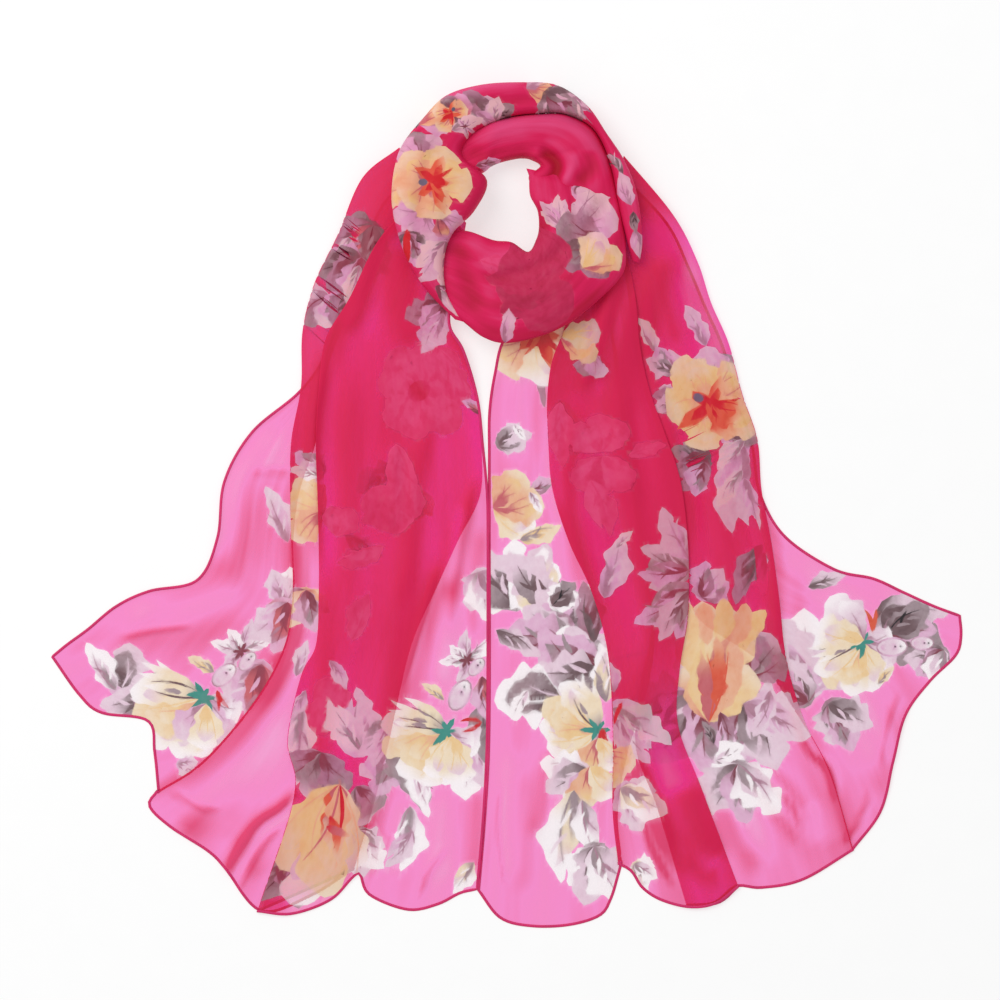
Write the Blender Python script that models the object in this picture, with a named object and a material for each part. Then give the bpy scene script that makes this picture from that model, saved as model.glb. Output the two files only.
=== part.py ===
"""A sheer scarf, wound once into a neck loop and laid flat, with both tails fanned out below the loop.

The real scarf is one cloth with a rolled hem all round. Each stretch that shows is a solid of its own:
two knife-pleated tails, the hem of each tail, and three bunched stretches of the loop.
All tables are in millimetres on the surface that the scarf lies on: x runs to the right, y runs from
the hems to the loop, and the origin is under the middle of the whole.
"""

import bpy
import numpy as np

MM = 0.001

# The cloth and how its layers lie.
WALL = 1.2  # thickness of one layer
LAYER = 2.0  # height from one layer to the next
SEAM_GAP = 0.5  # clear space between two pieces that are sewn together
HEM_WIDTH = 2.2  # the rolled edge
EDGE_KEEP = 30.0  # an upper layer stays up this far past the edge of a lower one
SETTLE = 60.0  # and then comes down over this length
HEM_REACH = 0.2  # share of a tail's length that takes part in the waves of its hem
TAIL_ROWS = 24  # rows of points along a tail

# The loop's stretches.
BAND_STEPS = 2  # rows of points for each row of a stretch's table

# Left tail, a row for each station from the loop to the hem. Columns follow the cloth across its width:
# outer selvedge, under fold 1, pleat edge 1, under fold 2, pleat edge 2, inner selvedge.
LEFT_FOLDS = (
    ((-67, 241), (-57, 229), (-78, 261), (-31, 207), (-60, 236), (-26, 203)),
    ((-89, 220), (-78, 210), (-105, 239), (-38, 182), (-76, 214), (-33, 178)),
    ((-104, 187), (-91, 178), (-123, 198), (-45, 153), (-95, 190), (-40, 150)),
    ((-119, 147), (-107, 141), (-140, 163), (-47, 131), (-114, 152), (-41, 130)),
    ((-133, 108), (-122, 105), (-149, 127), (-37, 109), (-132, 121), (-31, 112)),
    ((-152, 82), (-134, 75), (-150, 87), (-26, 77), (-135, 83), (-21, 78)),
    ((-186, 53), (-136, 43), (-157, 48), (-22, 42), (-138, 46), (-17, 43)),
    ((-206, 17), (-136, 8), (-158, 11), (-23, 4), (-135, 11), (-15, 7)),
    ((-211, -24), (-137, -30), (-157, -26), (-40, -26), (-135, -26), (-13.5, -26)),
    ((-226, -55), (-139, -70), (-156, -62), (-66, -61), (-136, -65), (-13, -62)),
    ((-261, -63), (-145, -108), (-160, -96), (-82, -99), (-138, -102), (-13, -100)),
    ((-285, -74), (-160, -143), (-174, -128), (-91, -138), (-149, -125), (-13, -138)),
    ((-306, -91), (-182, -175), (-196, -159), (-97, -175), (-159, -172), (-16, -181)),
    ((-321, -102), (-212, -201), (-225, -190), (-102, -220), (-152, -212), (-19, -231)),
    ((-332, -111), (-243, -217), (-255, -209), (-113, -266), (-182, -297), (-24, -281)),
)

# Left tail, a row for each panel between two columns: its level in the pile, the points across it
# where it has none from its hem, and the places that its hem passes between its two ends.
LEFT_PANELS = (
    (0, 4, ((-312, -139), (-296, -152), (-262, -158), (-257, -181))),
    (1, 3, ()),
    (2, 4, ((-261, -220), (-246, -235), (-218, -253), (-205, -266), (-179, -297), (-143, -286))),
    (3, 4, ()),
    (
        4,
        4,
        (
            (-157, -299),
            (-129, -289),
            (-113, -273),
            (-107, -270),
            (-100, -285),
            (-72, -296),
            (-50, -292),
            (-37, -283),
        ),
    ),
)

# Right tail, as the left. Columns: inner selvedge, inner under fold, top panel's left edge,
# top panel's right edge, under fold below it, outer pleat edge, outer under fold, outer selvedge.
RIGHT_FOLDS = (
    ((37, 160), (66, 190), (53, 178), (79, 207), (61, 187), (96, 236), (78, 212), (89, 225)),
    ((19, 134), (73, 156), (48, 146), (89, 178), (72, 165), (122, 212), (94, 184), (113, 200)),
    ((-1, 121), (78, 131), (41, 125), (95, 147), (75, 141), (140, 178), (109, 153), (130, 168)),
    ((-8, 96), (83, 108), (33, 103), (98, 116), (67, 113), (150, 148), (119, 121), (142, 137)),
    ((-12, 68), (88, 77), (30, 75), (105, 84), (59, 84), (163, 118), (129, 90), (155, 106)),
    ((-12, 36), (93, 45), (31, 43), (116, 53), (51, 52), (173, 81), (138, 56), (167, 71)),
    ((-12, 2), (99, 12), (34, 11), (127, 20), (51, 18), (184, 48), (146, 26), (179, 34)),
    ((-11, -33), (105, -21), (46, -27), (132, -14), (59, -17), (187, 11), (152, -7), (193, 5)),
    ((-10.5, -70), (109, -55), (62, -62), (134, -46), (72, -53), (194, -27), (160, -40), (216, -23)),
    ((-10.5, -106), (110, -93), (73, -100), (133, -83), (88, -92), (200, -70), (170, -80), (244, -47)),
    ((-11, -143), (105, -132), (77, -138), (127, -121), (94, -132), (203, -112), (186, -119), (269, -54)),
    ((-13, -187), (102, -176), (78, -181), (121, -159), (100, -178), (214, -159), (202, -165), (291, -64)),
    ((-16, -235), (102, -220), (78, -225), (141, -207), (113, -222), (233, -197), (224, -203), (313, -74)),
    ((-20, -282), (95, -257), (82, -262), (170, -279), (146, -277), (249, -254), (242, -258), (332, -81)),
)
RIGHT_PANELS = (
    (2, 4, ((-4, -302), (19, -308), (47, -307), (69, -300), (77, -288), (82, -272))),
    (3, 4, ()),
    (6, 4, ((92, -268), (100, -280), (114, -289), (135, -294), (154, -291))),
    (5, 4, ()),
    (4, 6, ((165, -279), (187, -280), (217, -274))),
    (1, 3, ()),
    (0, 4, ((274, -224), (283, -188), (292, -154), (310, -129), (329, -110), (333, -96))),
)

# The loop's stretches, a row for each station, clockwise round the neck: outer edge, inner edge, height
# of the underside, height of the crown, and the depth of the pleats that run along it.
OUTER_WRAP = (
    ((-37, 135), (-30, 133), 15, 19, 0.0),
    ((-56, 154), (-42, 154), 14, 26, 0.6),
    ((-70, 175), (-43, 182), 14, 32, 1.2),
    ((-78, 195), (-32, 198), 14, 36, 1.8),
    ((-83, 220), (-24, 216), 13, 38, 2.0),
    ((-81, 245), (-16, 236), 11, 37, 2.0),
    ((-75, 263), (-32, 254), 5, 34, 2.0),
    ((-61, 281), (-26, 268), 0, 31, 2.2),
    ((-44, 298), (-12, 277), 0, 29, 2.2),
    ((-19, 306), (4, 283), 0, 28, 2.2),
    ((10, 308), (22, 285), 0, 27, 2.0),
    ((37, 306), (42, 285), 0, 26, 1.8),
    ((59, 291), (60, 277), 0, 26, 1.4),
    ((73, 271), (70, 264), 3, 26, 0.8),
    ((86, 251), (77, 244), 9, 27, 0.6),
    ((94, 231), (81, 223), 13, 28, 0.6),
    ((98, 209), (85, 204), 14, 28, 0.6),
    ((99, 190), (89, 188), 14, 26, 0.3),
    ((97, 176), (92, 178), 15, 20, 0.0),
)
FRONT_WRAP = (
    ((81.2, 222.5), (17, 238.7), 13, 27, 2.2),
    ((84.6, 206), (17, 232), 15, 28, 2.2),
    ((87, 188), (18, 224), 15, 30, 2.4),
    ((85, 169), (23, 214), 15, 31, 2.4),
    ((68, 150), (24, 202), 15, 31, 2.4),
    ((45, 132), (22, 193), 15, 30, 2.2),
    ((22, 122), (16, 184), 15, 29, 2.2),
    ((-1, 118), (4, 191), 15, 28, 2.2),
    ((-16, 122), (-9, 193), 15, 27, 2.0),
    ((-28, 132), (-30, 194), 14, 25, 1.2),
    ((-40, 152), (-41, 176), 14, 22, 0.6),
)
BACK_WRAP = (
    ((-23, 265), (-25, 253), 4, 22, 1.4),
    ((-12, 277), (-18, 243), 0, 23, 2.2),
    ((4, 283), (-11, 247), 0, 22, 2.4),
    ((22, 285), (-4, 250), 0, 22, 2.6),
    ((42, 285), (4, 252), 0, 22, 2.6),
    ((60, 277), (11, 253), 0, 22, 2.4),
    ((70, 264), (18, 252), 0, 23, 2.4),
    ((77, 244), (25, 247), 5, 25, 2.2),
    ((81, 223.5), (17, 239.7), 13, 26, 2.2),
)

# Half of a stretch's section, from its edge to its crown: share of the width, share of the height, and how
# far it is set back. The set-backs part the edges of the layers that are bunched inside.
EDGE_SECTION = (
    (0.00, 0.00, 0.5),
    (0.00, 0.06, 0.0),
    (0.00, 0.20, 0.0),
    (0.00, 0.27, 1.3),
    (0.01, 0.34, 0.2),
    (0.01, 0.46, 0.1),
    (0.02, 0.53, 1.4),
    (0.03, 0.61, 0.3),
    (0.08, 0.77, 0.0),
    (0.16, 0.90, 0.0),
    (0.27, 0.97, 0.0),
    (0.39, 1.00, 0.0),
)
WHOLE_SET_BACK = 14.0  # a stretch under this width has the set-backs in proportion
PLEATS_ACROSS = 3  # pleats that show on the crown of a stretch

BARE_PINK = (0.86, 0.05, 0.22, 1.0)
LOOP_PINK = (0.78, 0.03, 0.16, 1.0)
HEM_PINK = (0.62, 0.01, 0.10, 1.0)


def clear_scene():
    for thing in list(bpy.data.objects):
        bpy.data.objects.remove(thing)


def smooth_curve(points, at):
    """Places on a smooth curve through the points; at counts the points from 0."""
    points = np.array(points, float)
    ends = np.vstack([2 * points[0] - points[1], points, 2 * points[-1] - points[-2]])
    first = np.clip(np.floor(at).astype(int), 0, len(points) - 2)
    u = (at - first)[:, None]
    a, b, c, d = (ends[first + k] for k in range(4))
    return 0.5 * (
        2 * b
        + (c - a) * u
        + (2 * a - 5 * b + 4 * c - d) * u**2
        + (3 * b - a - 3 * c + d) * u**3
    )


def ramp(x):
    """A soft step from 0 to 1."""
    x = np.clip(x, 0, 1)
    return x * x * (3 - 2 * x)


def unit(vectors):
    return vectors / np.maximum(np.linalg.norm(vectors, axis=-1, keepdims=True), 1e-9)


def depth_inside(places, outline):
    """How far each place lies inside a closed outline, in plan; negative outside it."""
    flat = places.reshape(-1, 2)
    start, end = outline, np.roll(outline, -1, axis=0)
    run = end - start
    length = np.maximum((run**2).sum(1), 1e-9)
    offset = flat[:, None] - start
    along = np.clip((offset * run).sum(2) / length, 0, 1)
    far = np.linalg.norm(offset - along[..., None] * run, axis=2).min(1)
    above = flat[:, 1:] < start[:, 1]
    crosses = above != (flat[:, 1:] < end[:, 1])
    rise = np.where(np.abs(run[:, 1]) < 1e-9, 1e-9, run[:, 1])
    meets = start[:, 0] + (flat[:, 1:] - start[:, 1]) / rise * run[:, 0]
    inside = (crosses & (flat[:, :1] < meets)).sum(1) % 2 == 1
    return np.where(inside, far, -far).reshape(places.shape[:-1])


def hem_shares(panels, folds, k):
    """Where the points of panel k stand across it, from 0 to 1, and how far its hem bows from a straight
    line at each of them."""
    _, points_across, places = panels[k]
    line = np.array([folds[-1][k], *places, folds[-1][k + 1]], float)
    if not places:
        share = np.linspace(0, 1, points_across)
        return share, np.zeros((len(share), 2))
    steps = np.linalg.norm(np.diff(line, axis=0), axis=1)
    share = np.concatenate([[0], np.cumsum(steps) / steps.sum()])
    bow = line - (line[0] + share[:, None] * (line[-1] - line[0]))
    if len(share) < points_across:
        finer = np.linspace(0, 1, points_across)
        bow = np.stack([np.interp(finer, share, bow[:, axis]) for axis in (0, 1)], 1)
        share = finer
    return share, bow


def column_curves(folds, rows):
    """Each column of a tail's table as a smooth line, at that many rows: rows, columns, xy."""
    at = np.linspace(0, len(folds) - 1, rows)
    columns = zip(*folds)
    return np.stack([smooth_curve(column, at) for column in columns], 1)


def hem_fade(rows):
    """How much of the hem's waves each row takes."""
    return np.clip((np.linspace(0, 1, rows) - 1 + HEM_REACH) / HEM_REACH, 0, 1)


def panel_outline(folds, panels, k, rows=40):
    """The outline of panel k in plan."""
    columns = column_curves(folds, rows)
    share, bow = hem_shares(panels, folds, k)
    hem = columns[-1, k] + share[:, None] * (columns[-1, k + 1] - columns[-1, k]) + bow
    return np.vstack([columns[:, k], hem[1:-1], columns[::-1, k + 1]])


def pile_height(places, level, outlines):
    """Height of the middle of a layer: half a wall, and one step for each layer that it lies on."""
    height = np.full(places.shape[:-1], WALL / 2)
    for lower, outline in outlines:
        if lower < level:
            reach = depth_inside(places, outline) + EDGE_KEEP + SETTLE
            height += LAYER * ramp(reach / SETTLE)
    return height


def middle_ways(points, axis=0):
    """The direction of a line of points at each of them."""
    steps = unit(np.diff(points, axis=axis))
    first, final = steps.take([0], axis), steps.take([-1], axis)
    return unit(np.concatenate([first, steps], axis) + np.concatenate([steps, final], axis))


def for_width(ways, line):
    """Each direction, of a length that takes it 1 mm away from a line that it may cross at a slant."""
    ways = unit(ways)
    square = np.linalg.norm(ways - (ways * line).sum(-1, keepdims=True) * line, axis=-1)
    return ways / np.maximum(square, 0.5)[..., None]


def outward_at(columns, c):
    """The way out of the cloth in plan at column c, an edge or a fold."""
    beside = [columns[:, c] - columns[:, k] for k in (c - 1, c + 1) if 0 <= k < columns.shape[1]]
    return for_width(sum(unit(way) for way in beside), middle_ways(columns[:, c]))


def fold_points(edge, outward, low, high):
    """The rounded turn of the cloth at a fold, between two layers' heights: rows, 2, xyz."""
    radius = np.abs(high - low) / 2
    turn = []
    for angle in np.radians((-42, 42)):
        place = edge + outward * (radius * (np.cos(angle) - 1))[:, None]
        height = (low + high) / 2 + (high - low) / 2 * np.sin(angle)
        turn.append(np.column_stack([place, height]))
    return np.stack(turn, 1)


def tail_grid(folds, panels):
    """The middle of a tail's cloth as a grid of points: rows along it, columns across its width through
    every fold. The first two and last two columns and the last two rows belong to the hem."""
    columns = column_curves(folds, TAIL_ROWS)
    fade = hem_fade(TAIL_ROWS)[:, None, None]
    outlines = [(panels[k][0], panel_outline(folds, panels, k)) for k in range(len(panels))]
    last = len(panels)
    strips = []
    for k, (level, _, _) in enumerate(panels):
        share, bow = hem_shares(panels, folds, k)
        ends = []
        for c in (k, k + 1):
            edge, outward = columns[:, c], outward_at(columns, c)
            if c in (0, last):
                ends.append(edge - outward * (HEM_WIDTH + SEAM_GAP))
                continue
            other = panels[c - 1 if c == k else c][0]
            gap = np.abs(
                pile_height(edge, level, outlines) - pile_height(edge, other, outlines)
            )
            ends.append(edge - outward * (gap / 2)[:, None])
        plan = ends[0][:, None] + share[:, None] * (ends[1] - ends[0])[:, None] + bow * fade
        height = pile_height(plan, level, outlines)
        strips.append(np.concatenate([plan, height[..., None]], 2))
        if k + 1 < last:
            edge, outward = columns[:, k + 1], outward_at(columns, k + 1)
            low = height[:, -1]
            high = pile_height(ends[1], panels[k + 1][0], outlines)
            strips.append(fold_points(edge, outward, low, high))
    for side, c, at in ((0, 0, 0), (-1, last, len(strips) + 1)):
        rim = strips[side][:, side]
        way = np.column_stack([outward_at(columns, c), np.zeros(TAIL_ROWS)])
        hem = [rim + way * SEAM_GAP, rim + way * (SEAM_GAP + HEM_WIDTH)]
        strips.insert(at, np.stack(hem[::-1] if side == 0 else hem, 1))
    grid = np.concatenate(strips, 1)
    back = for_width(grid[-2] - grid[-1], middle_ways(grid[-1]))
    hem_rows = [grid[-1] + back * (HEM_WIDTH + SEAM_GAP), grid[-1] + back * HEM_WIDTH]
    return np.concatenate([grid[:-1], np.stack(hem_rows), grid[-1:]])


def grid_normals(grid):
    """The cloth's normal at each point of a grid, lengthened at a bend so that the wall keeps its thickness."""
    across = middle_ways(grid, 1)
    after = unit(np.diff(grid, axis=1, append=2 * grid[:, -1:] - grid[:, -2:-1]))
    bend = np.maximum((across * after).sum(2, keepdims=True), 0.7)
    return unit(np.cross(middle_ways(grid), across)) / bend


def new_object(name, points, faces, colour):
    """One closed body from points in millimetres, with its own cloth material."""
    mesh = bpy.data.meshes.new(name)
    mesh.from_pydata([tuple(p * MM) for p in points], [], faces)
    mesh.shade_smooth()
    mesh.set_sharp_from_angle(angle=0.9)
    material = bpy.data.materials.new(name)
    material.use_nodes = True
    shader = material.node_tree.nodes["Principled BSDF"]
    shader.inputs["Base Color"].default_value = colour
    shader.inputs["Roughness"].default_value = 0.6
    shader.inputs["Metallic"].default_value = 0.0
    mesh.materials.append(material)
    thing = bpy.data.objects.new(name, mesh)
    bpy.context.scene.collection.objects.link(thing)


def cloth_wall(name, grid, cells, colour):
    """A wall of even thickness round the chosen cells of a grid, closed along their border."""
    half = grid_normals(grid) * WALL / 2
    rows, across = grid.shape[:2]
    faces = []
    for i, j in np.argwhere(cells):
        a, b = i * across + j, (i + 1) * across + j
        over = (a, b, b + 1, a + 1)
        faces.append(over)
        faces.append(tuple(v + rows * across for v in reversed(over)))
        beside = ((i, j - 1), (i + 1, j), (i, j + 1), (i - 1, j))
        for corner, (y, x) in enumerate(beside):
            inside = 0 <= y < cells.shape[0] and 0 <= x < cells.shape[1] and cells[y, x]
            if not inside:
                p, q = over[corner], over[(corner + 1) % 4]
                faces.append((q, p, p + rows * across, q + rows * across))
    points = np.concatenate([(grid + half).reshape(-1, 3), (grid - half).reshape(-1, 3)])
    points[:, 2] = np.maximum(points[:, 2], 0)
    used = sorted({v for face in faces for v in face})
    place = {v: n for n, v in enumerate(used)}
    new_object(name, points[used], [tuple(place[v] for v in face) for face in faces], colour)


def make_tail(name, folds, panels):
    """A tail's pleated wall, and its rolled hem as a second body round three of its sides."""
    grid = tail_grid(folds, panels)
    body = np.zeros((grid.shape[0] - 1, grid.shape[1] - 1), bool)
    body[:-2, 2:-2] = True
    hem = np.zeros_like(body)
    hem[:, [0, -1]] = True
    hem[-1] = True
    cloth_wall(name, grid, body, BARE_PINK)
    cloth_wall(name + "_hem", grid, hem, HEM_PINK)


def section_points():
    """A stretch's whole section over its top, from edge to edge: share of the width, share of the height,
    and how far each point is moved across."""
    near = [*EDGE_SECTION, (0.5, 1.0, 0.0)]
    far = [(1 - across, height, -back) for across, height, back in reversed(EDGE_SECTION)]
    return np.array(near + far).T


def make_band(name, stations, inset=SEAM_GAP):
    """A bunched stretch of the loop, with a flat underside: its section carried along its table. The
    inset holds its outer edge off the wrap that lies round it."""
    at = np.linspace(0, len(stations) - 1, (len(stations) - 1) * BAND_STEPS + 1)
    outer = smooth_curve([row[0] for row in stations], at)
    inner = smooth_curve([row[1] for row in stations], at)
    under, crown, pleat = np.maximum(smooth_curve([row[2:] for row in stations], at), 0).T
    inward = unit(inner - outer)
    outer = outer + inward * inset
    width = np.linalg.norm(inner - outer, axis=1)[:, None]
    across, share, back = section_points()
    shift = across * width + back * np.minimum(width / WHOLE_SET_BACK, 1)
    plan = outer[:, None] + shift[..., None] * inward[:, None]
    wave = np.cos(2 * np.pi * (PLEATS_ACROSS * across + 0.11 * at[:, None]))
    height = under[:, None] + (crown - under)[:, None] * share
    height -= pleat[:, None] * (1 - wave) / 2 * share**4
    grid = np.concatenate([plan, height[..., None]], 2)
    rows, around = grid.shape[:2]
    faces = [tuple(reversed(range(around))), tuple(range((rows - 1) * around, rows * around))]
    for i in range(rows - 1):
        for j in range(around):
            a, b = i * around + j, i * around + (j + 1) % around
            faces.append((a, b, b + around, a + around))
    new_object(name, grid.reshape(-1, 3), faces, LOOP_PINK)


clear_scene()
make_tail("left_tail", LEFT_FOLDS, LEFT_PANELS)
make_tail("right_tail", RIGHT_FOLDS, RIGHT_PANELS)
make_band("loop_outer_wrap", OUTER_WRAP, inset=0.0)
make_band("loop_front_wrap", FRONT_WRAP)
make_band("loop_back_wrap", BACK_WRAP)
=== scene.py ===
"""A sheer printed scarf, wound once into a neck loop and laid flat, with both tails fanned out below.

Lengths are in millimetres in the CAD's frame until a mesh is made. Places on the print are counted in
steps of the view from its top left.
"""

import bpy
import numpy as np
from mathutils.geometry import delaunay_2d_cdt
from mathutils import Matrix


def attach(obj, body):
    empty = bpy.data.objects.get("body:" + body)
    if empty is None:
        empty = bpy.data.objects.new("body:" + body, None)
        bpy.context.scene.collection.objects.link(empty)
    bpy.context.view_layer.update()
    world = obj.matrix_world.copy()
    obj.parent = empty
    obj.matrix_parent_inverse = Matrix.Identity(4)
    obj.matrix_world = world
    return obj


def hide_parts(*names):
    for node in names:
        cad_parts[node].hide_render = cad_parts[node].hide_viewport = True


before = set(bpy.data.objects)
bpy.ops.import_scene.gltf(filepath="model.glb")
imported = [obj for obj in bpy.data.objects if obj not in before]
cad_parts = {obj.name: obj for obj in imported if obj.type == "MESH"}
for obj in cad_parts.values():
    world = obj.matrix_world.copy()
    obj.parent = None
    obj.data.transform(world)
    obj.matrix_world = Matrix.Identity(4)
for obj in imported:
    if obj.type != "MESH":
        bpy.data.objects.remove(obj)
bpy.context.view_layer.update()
MM = 0.001

# ------------------------------------------------------------------ left tail
# One end of the scarf: polyester chiffon, woven plain and sheer, printed before it was cut. It lies in
# knife pleats, so that up to five layers of it show through each other. Nothing fixes it but its weight.

LEFT_FOLDS = (  # outer selvedge, under fold, pleat edge, under fold, pleat edge, inner selvedge
    ((-67, 241), (-57, 229), (-78, 261), (-29, 206), (-60, 236), (-30, 199)),
    ((-89, 220), (-78, 210), (-105, 239), (-34, 179), (-76, 214), (-33, 178)),
    ((-104, 187), (-95, 180), (-123, 198), (-41, 151), (-95, 190), (-40, 150)),
    ((-119, 147), (-114, 143), (-140, 163), (-41.8, 130), (-114, 152), (-41, 130)),
    ((-133, 108), (-129, 105), (-149, 127), (-31.8, 112), (-132, 121), (-31, 112)),
    ((-152, 82), (-135, 78), (-150, 87), (-21.8, 78), (-137, 83), (-21, 78)),
    ((-186, 53), (-139, 46), (-157, 48), (-17.9, 43), (-139, 46), (-17, 43)),
    ((-206, 17), (-151, 10), (-158, 11), (-19, 7), (-138, 11), (-13.7, 7)),
    ((-211, -24), (-155.5, -27), (-157, -26), (-35, -26), (-137, -26), (-13.2, -26)),
    ((-226, -55), (-154.6, -63), (-156, -62), (-51, -61), (-137, -65), (-13.3, -62)),
    ((-261, -63), (-159, -97.5), (-160, -96), (-68, -99), (-139, -102), (-13.3, -100)),
    ((-285, -74), (-173, -129.5), (-174, -128), (-78, -138), (-150, -125), (-13.4, -138)),
    ((-306, -91), (-195, -160.5), (-196, -159), (-86, -175), (-160, -172), (-14.1, -181)),
    ((-321, -102), (-224, -191.5), (-225, -190), (-97, -220), (-155, -212), (-16.8, -231)),
    ((-332, -111), (-254, -210.5), (-255, -209), (-111, -266), (-182, -297), (-21.2, -281)),
)
LEFT_PANELS = (  # level in the pile, places that the hem passes
    (0, ((-312, -139), (-296, -152), (-262, -158), (-257, -181))),
    (1, ()),
    (2, ((-261, -220), (-246, -235), (-218, -253), (-205, -266), (-179, -297), (-143, -286))),
    (3, ()),
    (4, (
        (-157, -299), (-129, -289), (-113, -273), (-107, -270), (-100, -285), (-72, -296), (-50, -292),
        (-34, -284),
    )),
)
LEFT_CREASES = (  # rise, half width, painted shade, partly for the denser cloth in a crease (below 0 for a painted highlight), and places that it runs through
    (3.0, 4.0, 1.3, ((300, 784), (282, 806), (258, 822), (238, 850), (222, 884))),
    (1.0, 44.0, 0.28, ((110, 640), (180, 630), (250, 570), (270, 470))),
    (1.0, 36.0, 0.22, ((180, 800), (240, 850), (280, 890))),
    (1.5, 2.5, 0.7, ((440, 562), (426, 604), (416, 636), (400, 690))),
    (1.5, 2.5, 0.6, ((236, 896), (250, 868), (266, 842), (286, 824))),
    (1.5, 2.5, 0.5, ((168, 790), (196, 806), (222, 812))),
    (1.5, 2.5, 0.5, ((420, 900), (430, 870), (450, 846))),
    (1.5, 2.5, 0.5, ((118, 640), (150, 632), (196, 626))),
    (1.5, 9.0, 0.4, ((300, 470), (297, 560), (294, 640), (264, 716), (212, 786))),
    (1.5, 16.0, -0.35, ((285, 700), (262, 750), (215, 800), (190, 830))),
    (1.5, 12.0, 0.35, ((276, 640), (262, 700), (222, 750), (172, 790))),
    (2.0, 12.0, 0.3, ((266, 430), (248, 490), (238, 540), (226, 600))),
    (2.0, 14.0, -0.5, ((292, 424), (262, 456), (240, 476), (226, 520), (212, 570))),
    (1.0, 4.0, 0.45, ((250, 474), (272, 472), (292, 474))),
    (2.0, 12.0, -0.35, ((120, 610), (160, 612), (210, 600), (250, 580))),
    (1.5, 12.0, 0.25, ((90, 650), (140, 640), (200, 634), (260, 620))),
    (3.0, 6.0, 0.5, ((321, 340), (320, 377), (312, 430), (314, 500), (318, 580))),
    (3.0, 14.0, 0.55, ((404, 240), (398, 280), (408, 320), (420, 350))),
    (3.0, 8.0, 0.5, ((380, 220), (368, 256), (360, 300), (345, 340))),
    (1.0, 8.0, -0.35, ((426, 340), (450, 366), (468, 400), (480, 450), (484, 500))),
    (2.5, 8.0, 0.35, ((430, 400), (424, 440), (413, 500), (410, 560), (398, 620))),
    (2.0, 4.0, 0.5, ((474, 476), (466, 520), (456, 580), (450, 640))),
    (2.0, 5.0, -0.5, ((464, 500), (458, 540), (446, 590))),
    (2.5, 7.0, -0.25, ((392, 440), (394, 480), (396, 530))),
    (1.0, 30.0, 0.2, ((400, 340), (392, 440), (388, 560), (370, 680))),
    (2.5, 10.0, 0.2, ((352, 340), (348, 420), (350, 520), (346, 620), (338, 700))),
    (2.0, 8.0, 0.3, ((330, 560), (326, 640), (322, 720), (316, 800))),
    (2.0, 20.0, 0.6, ((462, 560), (436, 610), (416, 650), (404, 710), (396, 760))),
    (2.0, 8.0, 0.55, ((482, 520), (478, 560), (474, 600), (478, 650))),
    (2.0, 9.0, -0.45, ((456, 590), (446, 640), (440, 690))),
    (2.5, 12.0, 0.7, ((374, 790), (366, 830), (362, 880))),
    (2.0, 6.0, 0.5, ((396, 830), (386, 850), (376, 872))),
    (2.0, 14.0, -0.3, ((434, 790), (436, 830), (440, 890))),
    (1.5, 6.0, 0.35, ((480, 780), (478, 840), (474, 884))),
    (1.5, 5.0, 0.3, ((440, 850), (428, 872), (420, 890))),
    (1.5, 10.0, 0.3, ((210, 800), (196, 820), (180, 830))),
    (1.5, 9.0, 0.3, ((262, 880), (250, 860), (246, 830))),
)

STEP = 0.732  # one step of the view
ORIGIN = (506, 505)  # the frame's origin in the view

CELL = 3.5  # spacing of the cloth's points
ROWS = 156  # rows of points along a tail
LOOP_CENTRE, LOOP_RADIUS = (8.0, 213.0), 92.0
NECK_RISE = 8.5  # how far the tails rise where they come out from under the loop
NECK_REACH = 60.0
HEM_REACH = 0.2  # share of a tail's length that takes part in the waves of its hem
PITCH = 1.1  # height from one layer to the next
TURN = np.radians((-60, -20, 20, 60))  # points round a fold, from the lower layer to the upper one
TURN_LENGTH = PITCH * 1.6  # cloth in a fold
LIFT = 0.5  # height of the lowest layer above the floor
RASTER = 2.0  # spacing of the plan of heights
BLUR = 6  # cells over which an upper layer comes down past the edge of a lower one
REACH_X, REACH_Y = 350.0, 330.0
NECK_SHADE = 0.32  # painted shade of the tails near the neck, under the loop, partly for the cloth gathered denser there
NECK_SHADE_REACH = 90.0
LIT_SIDE = 0.45  # share of a crease's painted shade that is painted back as a highlight on its lit side
PILED_SHADE = 0.18  # painted shade for each layer below, deepening the stacked layers past what shows through them
EDGE_SHADE = 0.3  # painted shade beside each fold
EDGE_REACH = 7.0

PALETTE = {
    "smoke": (156, 132, 140),
    "mauve": (178, 124, 148),
    "wine": (134, 62, 78),
    "umber": (112, 84, 90),
    "pearl": (230, 196, 216),
    "white": (252, 248, 250),
    "blush": (226, 168, 206),
    "faint": (230, 68, 120),
    "veil": (226, 54, 107),
    "ghost": (220, 46, 98),
    "rose": (212, 30, 74),
    "dusk": (188, 40, 82),
    "haze": (200, 42, 88),
    "cream": (244, 222, 182),
    "gold": (243, 204, 140),
    "peach": (240, 178, 138),
    "salmon": (206, 104, 112),
    "coral": (228, 92, 64),
    "red": (214, 30, 40),
    "teal": (60, 148, 136),
    "slate": (84, 100, 122),
    "ink": (30, 22, 28),
}
LEAF_TONES = {  # root, rim, lighter half, midrib
    "smoke": ("umber", "pearl", "pearl", "umber"),
    "mauve": ("wine", "blush", "smoke", "wine"),
    "wine": ("umber", "mauve", "mauve", "umber"),
    "umber": ("umber", "smoke", "smoke", "ink"),
    "pearl": ("smoke", "white", "white", "mauve"),
    "white": ("pearl", "white", "white", "smoke"),
    "blush": ("mauve", "pearl", "pearl", "mauve"),
    "faint": ("faint", "veil", "faint", "veil"),
    "dusk": ("dusk", "haze", "haze", "dusk"),
    "haze": ("haze", "haze", "haze", "haze"),
    "cream": ("smoke", "white", "pearl", "smoke"),
    "gold": ("smoke", "cream", "cream", "smoke"),
    "salmon": ("wine", "blush", "mauve", "wine"),
    "peach": ("salmon", "cream", "cream", "salmon"),
}
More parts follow.
